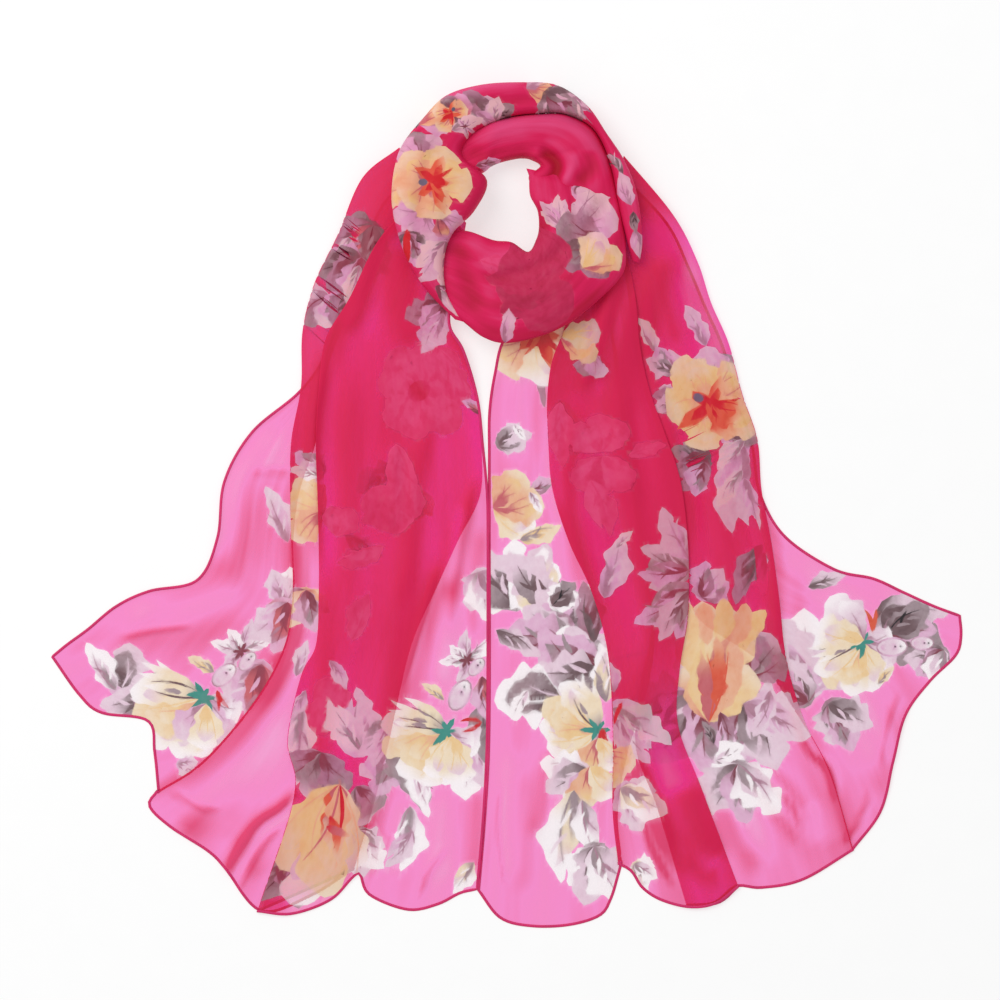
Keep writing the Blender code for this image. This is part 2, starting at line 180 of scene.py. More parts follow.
PETAL_TONES = {  # root, rim, lighter half
    "gold": ("peach", "cream", "cream"),
    "peach": ("salmon", "cream", "gold"),
    "cream": ("gold", "white", "pearl"),
    "pearl": ("mauve", "white", "white"),
    "blush": ("mauve", "pearl", "pearl"),
    "mauve": ("wine", "smoke", "smoke"),
    "smoke": ("umber", "pearl", "mauve"),
    "coral": ("red", "peach", "coral"),
    "umber": ("wine", "mauve", "smoke"),
    "wine": ("umber", "mauve", "mauve"),
    "salmon": ("wine", "blush", "peach"),
    "faint": ("veil", "veil", "faint"),
    "ghost": ("ghost", "veil", "ghost"),
    "haze": ("dusk", "haze", "haze"),
}
SEEN_THROUGH = ("faint", "ghost", "haze")  # printed on a layer below, so that they show soft


def smooth_curve(points, at):
    """Places on a smooth curve through the points; at counts the points from 0."""
    points = np.array(points, float)
    ends = np.vstack([2 * points[0] - points[1], points, 2 * points[-1] - points[-2]])
    first = np.clip(np.floor(at).astype(int), 0, len(points) - 2)
    u = (at - first)[:, None]
    a, b, c, d = (ends[first + k] for k in range(4))
    bend = (2 * a - 5 * b + 4 * c - d) * u**2 + (3 * b - a - 3 * c + d) * u**3
    return 0.5 * (2 * b + (c - a) * u + bend)


def in_plan(places):
    """Places in the view, as places on the floor."""
    return (np.array(places, float) - ORIGIN) * (STEP, -STEP)


def ramp(x):
    """A soft step from 0 to 1."""
    x = np.clip(x, 0, 1)
    return x * x * (3 - 2 * x)


def unit(vectors):
    """The vectors at length 1."""
    return vectors / np.maximum(np.linalg.norm(vectors, axis=-1, keepdims=True), 1e-9)


def ways_along(points, axis=0):
    """The way that a row of points runs at each of them."""
    return unit(np.gradient(points, axis=axis))


def heading(turn):
    """The way that a turn points, in radians from the right."""
    return np.array([np.cos(turn), np.sin(turn)])


def linear(colour):
    """A colour given from 0 to 255 as it shows, as the linear colour of a shader."""
    colour = np.array(colour) / 255
    return np.where(colour < 0.04045, colour / 12.92, ((colour + 0.055) / 1.055) ** 2.4)


class Plan:
    """A field of values over the floor."""

    def __init__(self):
        self.x = np.arange(-REACH_X, REACH_X, RASTER)
        self.y = np.arange(-REACH_Y, REACH_Y, RASTER)

    def filled(self, outline):
        """1 inside an outline, 0 outside it."""
        run = np.roll(outline, -1, axis=0) - outline
        inside = np.zeros((len(self.y), len(self.x)))
        for row, y in enumerate(self.y):
            crosses = (outline[:, 1] < y) != (outline[:, 1] + run[:, 1] < y)
            start, step = outline[crosses], run[crosses]
            meets = start[:, 0] + (y - start[:, 1]) / step[:, 1] * step[:, 0]
            inside[row] = np.searchsorted(np.sort(meets), self.x) % 2
        return inside

    def cover(self, outline):
        """1 inside an outline, falling softly to 0 past its edge."""
        field = self.filled(outline)
        for axis in (0, 1, 0, 1):
            width = BLUR
            pads = [(width, width) if axis == k else (0, 0) for k in (0, 1)]
            total = np.cumsum(np.pad(field, pads), axis)
            high = total.take(range(2 * width, total.shape[axis]), axis)
            low = total.take(range(total.shape[axis] - 2 * width), axis)
            field = (high - low) / (2 * width)
        return ramp(2 * field)

    def sample(self, field, places):
        """The field's values at places."""
        flat = places.reshape(-1, 2)
        x = np.clip((flat[:, 0] - self.x[0]) / RASTER, 0, len(self.x) - 1.01)
        y = np.clip((flat[:, 1] - self.y[0]) / RASTER, 0, len(self.y) - 1.01)
        i, j = y.astype(int), x.astype(int)
        v, u = y - i, x - j
        near = field[i, j] * (1 - u) + field[i, j + 1] * u
        far = field[i + 1, j] * (1 - u) + field[i + 1, j + 1] * u
        return (near * (1 - v) + far * v).reshape(places.shape[:-1])


PLAN = Plan()


def from_line(places, line):
    """How far each place is from a line of places in the view, below 0 on its right, and how far along it,
    from 0 to 1."""
    flat = places.reshape(-1, 2)
    line = in_plan(line)
    line = smooth_curve(line, np.linspace(0, len(line) - 1, 4 * len(line)))
    start, run = line[:-1], np.diff(line, axis=0)
    length = np.linalg.norm(run, axis=1)
    before = np.concatenate([[0], np.cumsum(length)[:-1]])
    offset = flat[:, None] - start
    along = np.clip((offset * run).sum(2) / length**2, 0, 1)
    off = offset - along[..., None] * run
    far = np.linalg.norm(off, axis=2)
    nearest = far.argmin(1)
    rows = np.arange(len(flat))
    side = np.sign(run[nearest, 0] * off[rows, nearest, 1] - run[nearest, 1] * off[rows, nearest, 0])
    share = (before[nearest] + along[rows, nearest] * length[nearest]) / length.sum()
    return (side * far[rows, nearest]).reshape(places.shape[:-1]), share.reshape(places.shape[:-1])


def creased(places, creases):
    """The rise of the cloth's soft folds at places in plan, and the shade painted along them, with a painted
    highlight on the lit side of each.
    """
    rise = np.zeros(places.shape[:-1])
    shade = np.zeros(places.shape[:-1])
    for height, half, dark, line in creases:
        far, share = from_line(places, line)
        ends = ramp(share * 5) * ramp((1 - share) * 5)
        rise += height * np.exp(-((far / half) ** 2)) * (0.15 + 0.85 * ends)
        # painted shade in each crease, less a painted highlight on its lit side
        lit = LIT_SIDE * np.exp(-((far / half - 1.7) ** 2))
        shade += dark * (np.exp(-((far / half) ** 2)) - lit) * ends
    return rise, shade


CLOSING_STEPS = 22
LONGEST_STEP = 16
FLATTEST = 0.02  # least plan area of a cell that stands on edge, for its flat area


class Cloth:
    """A cloth as a grid of points, rows along it and columns across it. Its flat width and length are the
    places of what is printed on it."""

    def __init__(self, grid, across, along, shade):
        self.grid, self.across, self.along, self.shade = grid, across, along, shade[..., None]
        self.normals = unit(np.cross(ways_along(grid, 1), ways_along(grid, 0)))

    def cell(self, flat, columns=None):
        """The cell that each flat place lies in and its shares of it. Past an end the last cell runs on."""
        low, high = columns or (0, len(self.across) - 1)
        i = np.clip(np.searchsorted(self.along, flat[:, 1]) - 1, 0, len(self.along) - 2)
        j = np.clip(np.searchsorted(self.across, flat[:, 0]) - 1, low, high - 1)
        v = (flat[:, 1] - self.along[i]) / (self.along[i + 1] - self.along[i])
        u = (flat[:, 0] - self.across[j]) / (self.across[j + 1] - self.across[j])
        return i, j, u[:, None], v[:, None]

    def place(self, flat, field=None):
        """Where flat places lie, or what another field of the grid is there."""
        field = self.grid if field is None else field
        i, j, u, v = self.cell(flat)
        near = field[i, j] * (1 - u) + field[i, j + 1] * u
        far = field[i + 1, j] * (1 - u) + field[i + 1, j + 1] * u
        return near * (1 - v) + far * v

    def find(self, plan, columns):
        """The flat places that lie at places in plan, on those columns or where they run on. It starts
        from the nearest of a few points and closes in."""
        low, high = columns
        rows = np.arange(0, len(self.along), 4)
        picks = np.unique(np.linspace(low, high, 12).astype(int))
        coarse = self.grid[np.ix_(rows, picks)][..., :2].reshape(-1, 2)
        nearest = ((plan[:, None] - coarse) ** 2).sum(2).argmin(1)
        across = self.across[picks][nearest % len(picks)]
        flat = np.column_stack([across, self.along[rows][nearest // len(picks)]])
        plane = self.grid[..., :2]
        for _ in range(CLOSING_STEPS):
            i, j, u, v = self.cell(flat, columns)
            a, b, c, d = plane[i, j], plane[i, j + 1], plane[i + 1, j], plane[i + 1, j + 1]
            here = (a * (1 - u) + b * u) * (1 - v) + (c * (1 - u) + d * u) * v
            du = ((b - a) * (1 - v) + (d - c) * v) / (self.across[j + 1] - self.across[j])[:, None]
            dv = ((c - a) * (1 - u) + (d - b) * u) / (self.along[i + 1] - self.along[i])[:, None]
            off = plan - here
            area = du[:, 0] * dv[:, 1] - du[:, 1] * dv[:, 0]
            area = np.where(np.abs(area) < FLATTEST, np.copysign(FLATTEST, area), area)
            step_u = (off[:, 0] * dv[:, 1] - off[:, 1] * dv[:, 0]) / area
            step_v = (du[:, 0] * off[:, 1] - du[:, 1] * off[:, 0]) / area
            flat += np.clip(np.column_stack([step_u, step_v]), -LONGEST_STEP, LONGEST_STEP)
        return flat


def neck_rise(places):
    """How far the tails are lifted, most under the loop."""
    away = np.linalg.norm(places - LOOP_CENTRE, axis=-1) - LOOP_RADIUS
    return NECK_RISE * ramp(1 - away / NECK_REACH)


def tail_cloth(folds, panels, creases):
    """A pleated tail: its cloth, and the first and last column of each panel."""
    at = np.linspace(0, len(folds) - 1, ROWS)
    columns = np.stack([smooth_curve(column, at) for column in zip(*folds)], 1)
    steps = np.linalg.norm(np.diff(columns.mean(1), axis=0), axis=1)
    along = np.concatenate([[0], np.cumsum(steps)])
    fade = np.clip((at / at[-1] - 1 + HEM_REACH) / HEM_REACH, 0, 1)[:, None, None]
    hems, outlines = [], []
    for k, (level, places) in enumerate(panels):
        line = np.array([folds[-1][k], *places, folds[-1][k + 1]], float)
        line = smooth_curve(line, np.linspace(0, len(line) - 1, 12 * len(line)))
        run = np.linalg.norm(np.diff(line, axis=0), axis=1)
        share = np.concatenate([[0], np.cumsum(run) / run.sum()])
        bow = line - (line[0] + share[:, None] * (line[-1] - line[0]))
        hems.append((share, bow, run.sum()))
        outlines.append(np.vstack([columns[:, k], line[1:-1], columns[::-1, k + 1]]))
    covers = [PLAN.cover(outline) for outline in outlines]

    def height(places, level):
        lower = (cover for cover, panel in zip(covers, panels) if panel[0] < level)
        pile = LIFT + sum(PITCH * PLAN.sample(cover, places) for cover in lower)
        return pile + creased(places, creases)[0] + neck_rise(places)

    strips, across, spans = [], [], []
    start = 0.0
    for k, (level, _) in enumerate(panels):
        share, bow, width = hems[k]
        count = max(3, round(width / CELL))
        shares = np.linspace(0, 1, count + 1)
        ends = []
        for c in (k, k + 1):
            edge = columns[:, c]
            if c in (0, len(panels)):
                ends.append(edge)
                continue
            gap = np.abs(height(edge, level) - height(edge, panels[c - 1 if c == k else c][0]))
            inward = unit(columns[:, k + 1 if c == k else k] - edge)
            ends.append(edge + inward * (gap / 2)[:, None])
        bows = np.stack([np.interp(shares, share, bow[:, axis]) for axis in (0, 1)], 1)
        plan = ends[0][:, None] + shares[:, None] * (ends[1] - ends[0])[:, None] + bows * fade
        first = len(np.concatenate(across)) if across else 0
        strips.append(np.concatenate([plan, height(plan, level)[..., None]], 2))
        across.append(start + shares * width)
        spans.append((first, first + count))
        start += width
        if k + 1 < len(panels):
            edge = columns[:, k + 1]
            low, high = strips[-1][:, -1, 2], height(edge, panels[k + 1][0])
            outward = unit(edge - ends[1])
            out = np.abs(high - low)[:, None] / 2 * (np.cos(TURN) - 1)
            turn = edge[:, None] + outward[:, None] * out[..., None]
            rise = ((low + high) / 2)[:, None] + ((high - low) / 2)[:, None] * np.sin(TURN)
            strips.append(np.concatenate([turn, rise[..., None]], 2))
            across.append(start + TURN_LENGTH * (np.arange(len(TURN)) + 1) / (len(TURN) + 1))
            start += TURN_LENGTH
    grid = np.concatenate(strips, 1)
    # the creases' painted shade and painted highlights
    rise, shade = creased(grid[..., :2], creases)
    # painted shade near the neck, where the loop lies over the tails, partly for the denser gathered cloth
    shade += NECK_SHADE * np.exp(-along / NECK_SHADE_REACH)[:, None]
    # painted shade for the layers stacked below
    shade += PILED_SHADE * (grid[..., 2] - LIFT - rise - neck_rise(grid[..., :2])) / PITCH
    across = np.concatenate(across)
    # painted shade beside each fold
    for _, last in spans[:-1]:
        shade += EDGE_SHADE * np.exp(-(((across - across[last]) / EDGE_REACH) ** 2))
    return Cloth(grid, across, along, shade), spans


OUTLINE_STEP = 1.8  # length of a leaf's outline from point to point
OUTLINE_POINTS = (8, 23)  # fewest and most on one side of it


class Drawing:
    """Outlines printed on a cloth, the later ones over the earlier, each with the colours of its root, its
    body and its rim."""

    def __init__(self, seed):
        self.outlines, self.axes, self.tones = [], [], []
        self.random = np.random.default_rng(seed)

    def add(self, outline, base, tip, tones):
        self.outlines.append(outline)
        self.axes.append((base, tip))
        self.tones.append([linear(PALETTE[tone]) for tone in tones])

    def blade(self, base, turn, length, width, tones, broad=0.8, blunt=0.9, teeth=0, wave=0.1):
        """A leaf or petal from its base, widest where broad says, with a wavy or toothed edge."""
        way = heading(turn)
        side = np.array([-way[1], way[0]])
        t = np.linspace(0, 1, int(np.clip(length / OUTLINE_STEP, *OUTLINE_POINTS)))[1:-1]
        half = width / 2 * np.sin(np.pi * t**broad) ** blunt
        bend = self.random.uniform(-0.12, 0.12) * length * np.sin(np.pi * t)
        middle = base + way * (t * length)[:, None] + side * bend[:, None]
        lines = []
        for hand in (1, -1):
            ripple = 1 + wave * np.sin(t * 10 + self.random.uniform(0, 6))
            ripple += wave * 0.7 * np.sin(t * 23 + self.random.uniform(0, 6))
            if teeth:
                ripple += 0.3 * (np.abs(np.sin(np.pi * (t * teeth + 0.25 * hand))) - 0.6)
            lines.append(middle + side * (hand * half * ripple)[:, None])
        tip = base + way * length
        self.add(np.vstack([base, lines[0], tip, lines[1][::-1]]), base, tip, tones)
        return tip

    def stroke(self, start, turn, length, width, tone):
        """A thin line of one colour."""
        self.blade(start, turn, length, width, (tone,) * 3, 0.7, 0.6)

    def star(self, centre, size, points, tones):
        """A star of that many blunt points."""
        turn = np.linspace(0, 2 * np.pi, 4 * points, endpoint=False)
        reach = size * (0.62 + 0.38 * np.cos(points * turn) * self.random.uniform(0.5, 1, len(turn)))
        reach *= 1 + 0.3 * np.sin(turn * 2 + self.random.uniform(0, 6))
        outline = centre + reach[:, None] * heading(turn).T
        self.add(outline, centre, centre + np.array([size, 0]), tones)

    def oval(self, centre, turn, length, width, tones):
        angle = np.linspace(0, 2 * np.pi, 14, endpoint=False)
        way = heading(turn)
        side = np.array([-way[1], way[0]])
        outline = centre + np.outer(np.cos(angle) * length / 2, way)
        outline += np.outer(np.sin(angle) * width / 2, side)
        self.add(outline, centre - way * length / 2, centre + way * length / 2, tones)

    def frond(self, base, turn, size, width, tone, teeth=0):
        """One leaf, painted wet: a pale edge that runs into its body, a dark root and one lighter side."""
        root, rim, light, rib = LEAF_TONES[tone]
        self.blade(base, turn, size, width, (tone, rim, rim), 0.9, 0.75, teeth, 0.2)
        lean = turn + self.random.choice((-1, 1)) * 0.1
        self.blade(base, lean, size * 0.84, width * 0.62, (root, tone, light))
        self.blade(base, 2 * turn - lean, size * 0.62, width * 0.28, (root, root, tone))
        self.stroke(base, turn, size * 0.8, max(0.8, size * 0.03), rib)
        if size > 14:
            for reach, aside, paint in ((0.3, 0.5, rib), (0.46, -0.55, light), (0.2, -0.45, rim)):
                start = base + heading(turn) * size * reach
                self.stroke(start, turn + aside, size * 0.3, width * 0.1, paint)

    def fan(self, base, turn, size, tones, gap, width, teeth=0):
        """Leaves from one stalk on a wash of their colour, with smaller ones behind and between them."""
        middle = base + heading(turn) * size * 0.3
        self.oval(middle, turn, size * 0.75, size * 0.6, (tones[0], tones[-1], tones[0]))
        leans = [gap * (k - (len(tones) - 1) / 2) for k in range(len(tones))]
        for k, lean in enumerate(leans):
            small = size * self.random.uniform(0.58, 0.76)
            aside = turn + lean + self.random.choice((-1, 1)) * gap * 0.62
            self.frond(base, aside, small, small * width * 1.2, tones[k - 1], teeth)
        for lean, tone in zip(leans, tones):
            aside = turn + lean + self.random.uniform(-0.08, 0.08)
            reach = size * self.random.uniform(0.85, 1.0)
            self.frond(base, aside, reach, reach * width, tone, teeth)

    def leaf(self, base, turn, size, tones):
        """One leaf or long petal."""
        self.frond(base, turn, size, size * self.random.uniform(0.34, 0.42), tones[0])

    def leaves(self, base, turn, size, tones):
        """A fan of leaves from one stalk."""
        self.fan(base, turn, size, tones, 0.6, 0.64, teeth=3)

    def saws(self, base, turn, size, tones):
        """A fan of toothed leaves."""
        self.fan(base, turn, size, tones, 0.5, 0.38, teeth=5)

    def petal(self, base, turn, length, width, tone):
        """A broad ruffled petal with a paler rim, coloured and streaked at its root."""
        root, rim, light = PETAL_TONES[tone]
        if tone in SEEN_THROUGH:
            self.blade(base, turn, length * 1.08, width * 1.14, (rim,) * 3, 1.5, 0.5, wave=0.1)
        self.blade(base, turn, length, width, (tone, tone, rim), 1.5, 0.5, wave=0.17)
        lean = turn + self.random.uniform(-0.12, 0.12)
        self.blade(base, lean, length * 0.82, width * 0.62, (root, tone, light), 1.4, 0.6)
        self.blade(base, turn, length * 0.5, width * 0.34, (root, root, tone), 1.2, 0.7)
        for lean in (-0.24, 0.08, 0.3):
            if tone not in SEEN_THROUGH:
                self.stroke(base, turn + lean, length * self.random.uniform(0.55, 0.85), 1.0, root)

    def petals(self, base, turn, size, tones):
        """A fan of broad petals."""
        for k, tone in enumerate(tones):
            lean = turn + 0.72 * (k - (len(tones) - 1) / 2) + self.random.uniform(-0.1, 0.1)
            self.petal(base, lean, size * self.random.uniform(0.85, 1.05), size * 0.66, tone)

    def hibiscus(self, base, turn, size, tones):
        """An open flower of broad petals, longest away from its pistil, with a wide red throat."""
        for k in (0, 3, 1, 4, 2):
            lean = turn + np.pi + (k - 2) * 1.18 + self.random.uniform(-0.1, 0.1)
            length = size * (1.0 - 0.1 * abs(k - 2)) * self.random.uniform(0.92, 1.08)
            self.petal(base, lean, length, size * 0.78, tones[k % len(tones)])
        way = heading(turn)
        self.star(base - way * size * 0.1, size * 0.6, 5, ("coral", "peach", "peach"))
        self.star(base - way * size * 0.12, size * 0.42, 5, ("red", "coral", "coral"))
        self.oval(base - way * size * 0.16, turn, size * 0.36, size * 0.26, ("red",) * 3)
        self.stroke(base, turn + np.pi + 0.6, size * 0.6, size * 0.1, "red")
        self.stroke(base, turn + np.pi - 0.7, size * 0.5, size * 0.08, "coral")
        self.oval(base + way * size * 0.16, turn, size * 0.2, size * 0.16, ("slate",) * 3)

    def bell(self, base, turn, size, tones):
        """A flower seen from the side: long ruffled petals on one hand, short ones on the other, and red
        streaks from its throat."""
        for lean, reach, k in ((-0.3, 0.8, 1), (0.36, 0.7, 0), (-0.08, 1.0, 2), (0.18, 0.88, 1)):
            self.petal(base, turn + lean, size * reach, size * 0.38, tones[k % len(tones)])
        for lean, reach, paint in ((0.16, 0.52, "coral"), (-0.02, 0.4, "salmon"), (0.3, 0.62, "peach")):
            self.blade(base, turn + lean, size * reach, size * 0.15, (paint, paint, tones[0]), wave=0.3)
        self.stroke(base, turn + 0.22, size * 0.5, size * 0.03, "red")
        self.stroke(base, turn - 0.14, size * 0.66, size * 0.02, "salmon")
        way = heading(turn)
        self.blade(base + way * size * 0.25, turn + 0.5, size * 0.3, size * 0.08, ("red", "coral", "peach"))
        self.blade(base + way * size * 0.34, turn + 1.5, size * 0.2, size * 0.07, ("red", "salmon", "peach"))

    def flare(self, base, turn, size, tones):
        """A flower seen from the side: tall ragged petals with a notch between them and coral streaks."""
        petals = ((0.5, 0.5, 0.3, 1), (-0.46, 0.56, 0.3, 0), (-0.24, 0.86, 0.26, 2), (0.2, 0.98, 0.3, 0))
        for lean, share, width, k in (*petals, (-0.04, 0.94, 0.24, 1)):
            tone = tones[k]
            root, rim, light = PETAL_TONES[tone]
            reach = size * share
            self.blade(base, turn + lean, reach, size * width, (tone, tone, rim), 1.7, 0.45, 2, 0.2)
            self.blade(base, turn + lean, reach * 0.8, size * width * 0.5, (root, tone, light), 1.3)
        for lean, k in ((-0.28, 2), (-0.14, 1), (0.02, 0), (0.16, 1), (0.3, 0)):
            reach = size * self.random.uniform(0.32, 0.42)
            start = base + heading(turn + lean) * size * 0.62
            self.blade(start, turn + lean * 1.4, reach, size * 0.17, (tones[k],) * 3, 1.2, 0.6)
        streaks = ((-0.14, 0.8, 0.14, "salmon"), (0.06, 0.7, 0.2, "coral"), (0.26, 0.6, 0.12, "salmon"))
        for lean, reach, width, paint in (*streaks, (-0.34, 0.5, 0.09, "peach")):
            self.blade(base, turn + lean, size * reach, size * width, (paint, paint, "peach"), wave=0.35)
        for lean, reach in ((-0.12, 0.6), (0.18, 0.56)):
            self.stroke(base, turn + lean, size * reach, size * 0.016, "coral")

    def striped(self, base, turn, size, tones):
        """A half open flower: long striped petals, broad ones under them, and a teal throat."""
        pale = ((2.7, 0.55, "pearl"), (2.2, 0.68, "blush"), (1.75, 0.8, "pearl"), (1.35, 0.88, "cream"))
        for lean, reach, tone in (*pale, (0.95, 0.96, "cream"), (0.5, 1.0, "gold"), (0.75, 0.8, "gold")):
            self.petal(base, turn + lean, size * reach, size * 0.5, tone)
        self.petal(base, turn + 0.12, size * 0.98, size * 0.4, "cream")
        for lean, reach in ((-0.46, 0.8), (-0.3, 0.95), (-0.14, 0.92), (0.02, 0.82)):
            self.blade(base, turn + lean, size * reach, size * 0.16, ("smoke", "cream", "white"))
            self.stroke(base, turn + lean + 0.07, size * reach * 0.8, size * 0.03, "umber")
            start = base + heading(turn + lean) * size * 0.3
            self.stroke(start, turn + lean, size * 0.24, size * 0.07, "smoke")
        self.star(base, size * 0.2, 6, ("teal", "teal", "teal"))
        self.stroke(base, turn + 1.0, size * 0.3, size * 0.09, "teal")
        self.stroke(base, turn + 0.1, size * 0.24, size * 0.08, "teal")

    def blossom(self, base, turn, size, tones):
        """A small flower of narrow pale petals with a dark throat."""
        for k, lean in enumerate((-1.7, -0.85, 0.75, 1.9, 0.0)):
            tone = tones[k % len(tones)]
            self.frond(base, turn + lean, size * (1 - 0.08 * k), size * 0.34, tone)
        self.star(base, size * 0.26, 6, ("wine", "wine", "salmon"))
        self.stroke(base, turn + 3.0, size * 0.5, size * 0.08, "wine")

    def bud(self, base, turn, size, tones):
        """A closed bud with a pale rim and dark dots."""
        way = heading(turn)
        middle = base + way * size / 2
        self.oval(middle, turn, size, size * 0.62, ("mauve", "blush", "mauve"))
        self.oval(middle, turn, size * 0.9, size * 0.5, ("pearl", "pearl", "white"))
        self.oval(middle - way * size * 0.1, turn, size * 0.5, size * 0.28, ("blush", "pearl", "blush"))
        for share in (0.1, 0.27):
            self.oval(middle + way * size * share, turn, 1.5, 1.3, ("ink",) * 3)

    def spot(self, base, turn, size, tones):
        """A soft spot of ink."""
        self.oval(base, turn, size * 1.2, size, tones)

    def rimmed(self, base, turn, size, tones):
        """A broad lobed leaf with a pale rim."""
        body, rim = tones
        self.blade(base, turn, size, size * 0.86, (rim,) * 3, 0.9, 0.6, teeth=3)
        root, edge, light, rib = LEAF_TONES[body]
        self.blade(base, turn, size * 0.84, size * 0.62, (root, body, body), 0.9, 0.7)
        self.blade(base, turn + 0.15, size * 0.6, size * 0.3, (root, root, body), 0.9, 0.7)
        self.stroke(base, turn, size * 0.7, 1.4, rim)
        self.stroke(base, turn - 0.4, size * 0.5, 1.2, light)

    def strokes(self, base, turn, size, tones):
        """A few short stamens."""
        for k, tone in enumerate(tones):
            self.stroke(base, turn + 0.5 * k, size, size * 0.2, tone)

    def draw(self, rows):
        """Every row names one of the motifs above, with its place, turn, size and tones."""
        for kind, x, y, turn, size, tones in rows:
            motif = getattr(self, kind)
            motif(in_plan((x, y)), np.radians(turn), size * STEP, tones.split())


def within(outline, places):
    """Whether each place lies inside an outline."""
    run = np.roll(outline, -1, axis=0) - outline
    x, y = places[:, :1], places[:, 1:]
    crosses = (outline[:, 1] < y) != (outline[:, 1] + run[:, 1] < y)
    rise = np.where(np.abs(run[:, 1]) < 1e-9, 1e-9, run[:, 1])
    meets = outline[:, 0] + (y - outline[:, 1]) / rise * run[:, 0]
    return (crosses & (x < meets)).sum(1) % 2 == 1


INK_STRENGTH = 1.0
INK_CLEAR = 0.57  # how much clearer the palest ink is than the darkest
INK_VIVID = 0.3  # how much more solid the vivid inks are
STRONGEST = 0.97
RUN_TOGETHER = 0.7  # how far the inks of a motif run into each other
BLEED = 0.12  # how far they run into the bare cloth
ROOT_REACH, RIM_START = 0.4, 0.55  # shares of a motif's length that its root's and its rim's colours take
STRETCH = (8, 3)  # an outline that grows by more, across or along, has run off its panel
STRETCH_MORE = 10
SMALLEST = 1e-4


def cut(cloth, drawings):
    """The cloth cut along its grid's edges, its folds and its print: its flat points, its triangles, the
    outline that each triangle lies in, -1 for none, and the axes and inks of the outlines."""
    across, along = np.meshgrid(cloth.across, cloth.along)
    flats = [np.column_stack([across.ravel(), along.ravel()])]
    rows, width = across.shape
    corners = np.arange(rows * width).reshape(rows, width)
    border = []
    folds = [corners[:, column] for columns, _ in drawings for column in columns]
    for line in (corners[0], corners[-1], corners[:, 0], corners[:, -1], *folds):
        border += list(zip(line[:-1], line[1:]))
    axes, tones, spans = [], [], []
    count = rows * width
    for columns, drawing in drawings:
        found = cloth.find(np.vstack(drawing.outlines), columns)
        span = cloth.across[list(columns)] if len(drawings) > 1 else (-np.inf, np.inf)
        start = 0
        for outline, axis, inks in zip(drawing.outlines, drawing.axes, drawing.tones):
            part = found[start : start + len(outline)]
            start += len(outline)
            most = np.array(STRETCH) * np.ptp(outline, 0).max() + STRETCH_MORE
            if (np.ptp(part, 0) > most).any():
                continue
            places = np.arange(count, count + len(part))
            border += list(zip(places, np.roll(places, -1)))
            flats.append(part)
            axes.append(axis)
            tones.append(inks)
            spans.append(span)
            count += len(part)
    pairs = [(int(a), int(b)) for a, b in border]
    made = delaunay_2d_cdt([tuple(p) for p in np.vstack(flats).tolist()], pairs, [], 0, SMALLEST)
    flat = np.array([tuple(p) for p in made[0]])
    triangles = np.array([face for face in made[2] if len(face) == 3])
    middle = flat[triangles].mean(1)
    order = middle[:, 1].argsort()
    owners = np.full(len(middle), -1)
    for k, (outline, span) in enumerate(zip(flats[1:], spans)):
        low, high = outline.min(0), outline.max(0)
        first, last = np.searchsorted(middle[order, 1], (low[1], high[1]))
        near = order[first:last]
        x = middle[near, 0]
        near = near[(x > max(low[0], span[0])) & (x < min(high[0], span[1]))]
        owners[near[within(outline, middle[near])]] = k
    a, b, c = (flat[triangles[:, k]] for k in range(3))
    area = (b[:, 0] - a[:, 0]) * (c[:, 1] - a[:, 1]) - (b[:, 1] - a[:, 1]) * (c[:, 0] - a[:, 0])
    on_cloth = (middle > flats[0].min(0)) & (middle < flats[0].max(0))
    keep = on_cloth.all(1) & (np.abs(area) > SMALLEST)
    used, triangles = np.unique(triangles[keep], return_inverse=True)
    return flat[used], triangles.reshape(-1, 3), owners[keep], axes, tones


def inked(points, triangles, owners, axes, tones, bare):
    """The print's colour at each corner of each triangle, and how strong it is."""
    corner, owner = triangles.ravel(), np.repeat(owners, 3)
    colours = np.tile(np.append(linear(bare), 0.0), (len(owner), 1))
    printed = owner >= 0
    base = np.array([axis[0] for axis in axes])[owner[printed]]
    run = np.array([axis[1] for axis in axes])[owner[printed]] - base
    share = ((points[corner][printed][:, :2] - base) * run).sum(1) / (run**2).sum(1)
    share = share[:, None]
    root, body, rim = np.array(tones)[owner[printed]].transpose(1, 0, 2)
    mixed = body + (root - body) * ramp(1 - share / ROOT_REACH)
    mixed = mixed + (rim - body) * ramp((share - RIM_START) / (1 - RIM_START))
    strength = INK_STRENGTH - INK_CLEAR * mixed.mean(1) + INK_VIVID * np.ptp(mixed, 1)
    strength = np.minimum(strength, STRONGEST)
    colours[printed] = np.column_stack([mixed, strength])
    total = np.zeros((len(points), 5))
    np.add.at(total, corner[printed], np.column_stack([colours[printed], np.ones(len(mixed))]))
    wet = total[:, 4] > 0
    mean = total[:, :4] / np.maximum(total[:, 4:], 1)
    colours[printed] += RUN_TOGETHER * (mean[corner[printed]] - colours[printed])
    beside = ~printed & wet[corner]
    colours[beside] = mean[corner[beside]] * (1, 1, 1, BLEED)
    return colours


def in_scene(name, data):
    """A new object of a mesh, lamp or camera."""
    thing = bpy.data.objects.new(name, data)
    bpy.context.scene.collection.objects.link(thing)
    return thing


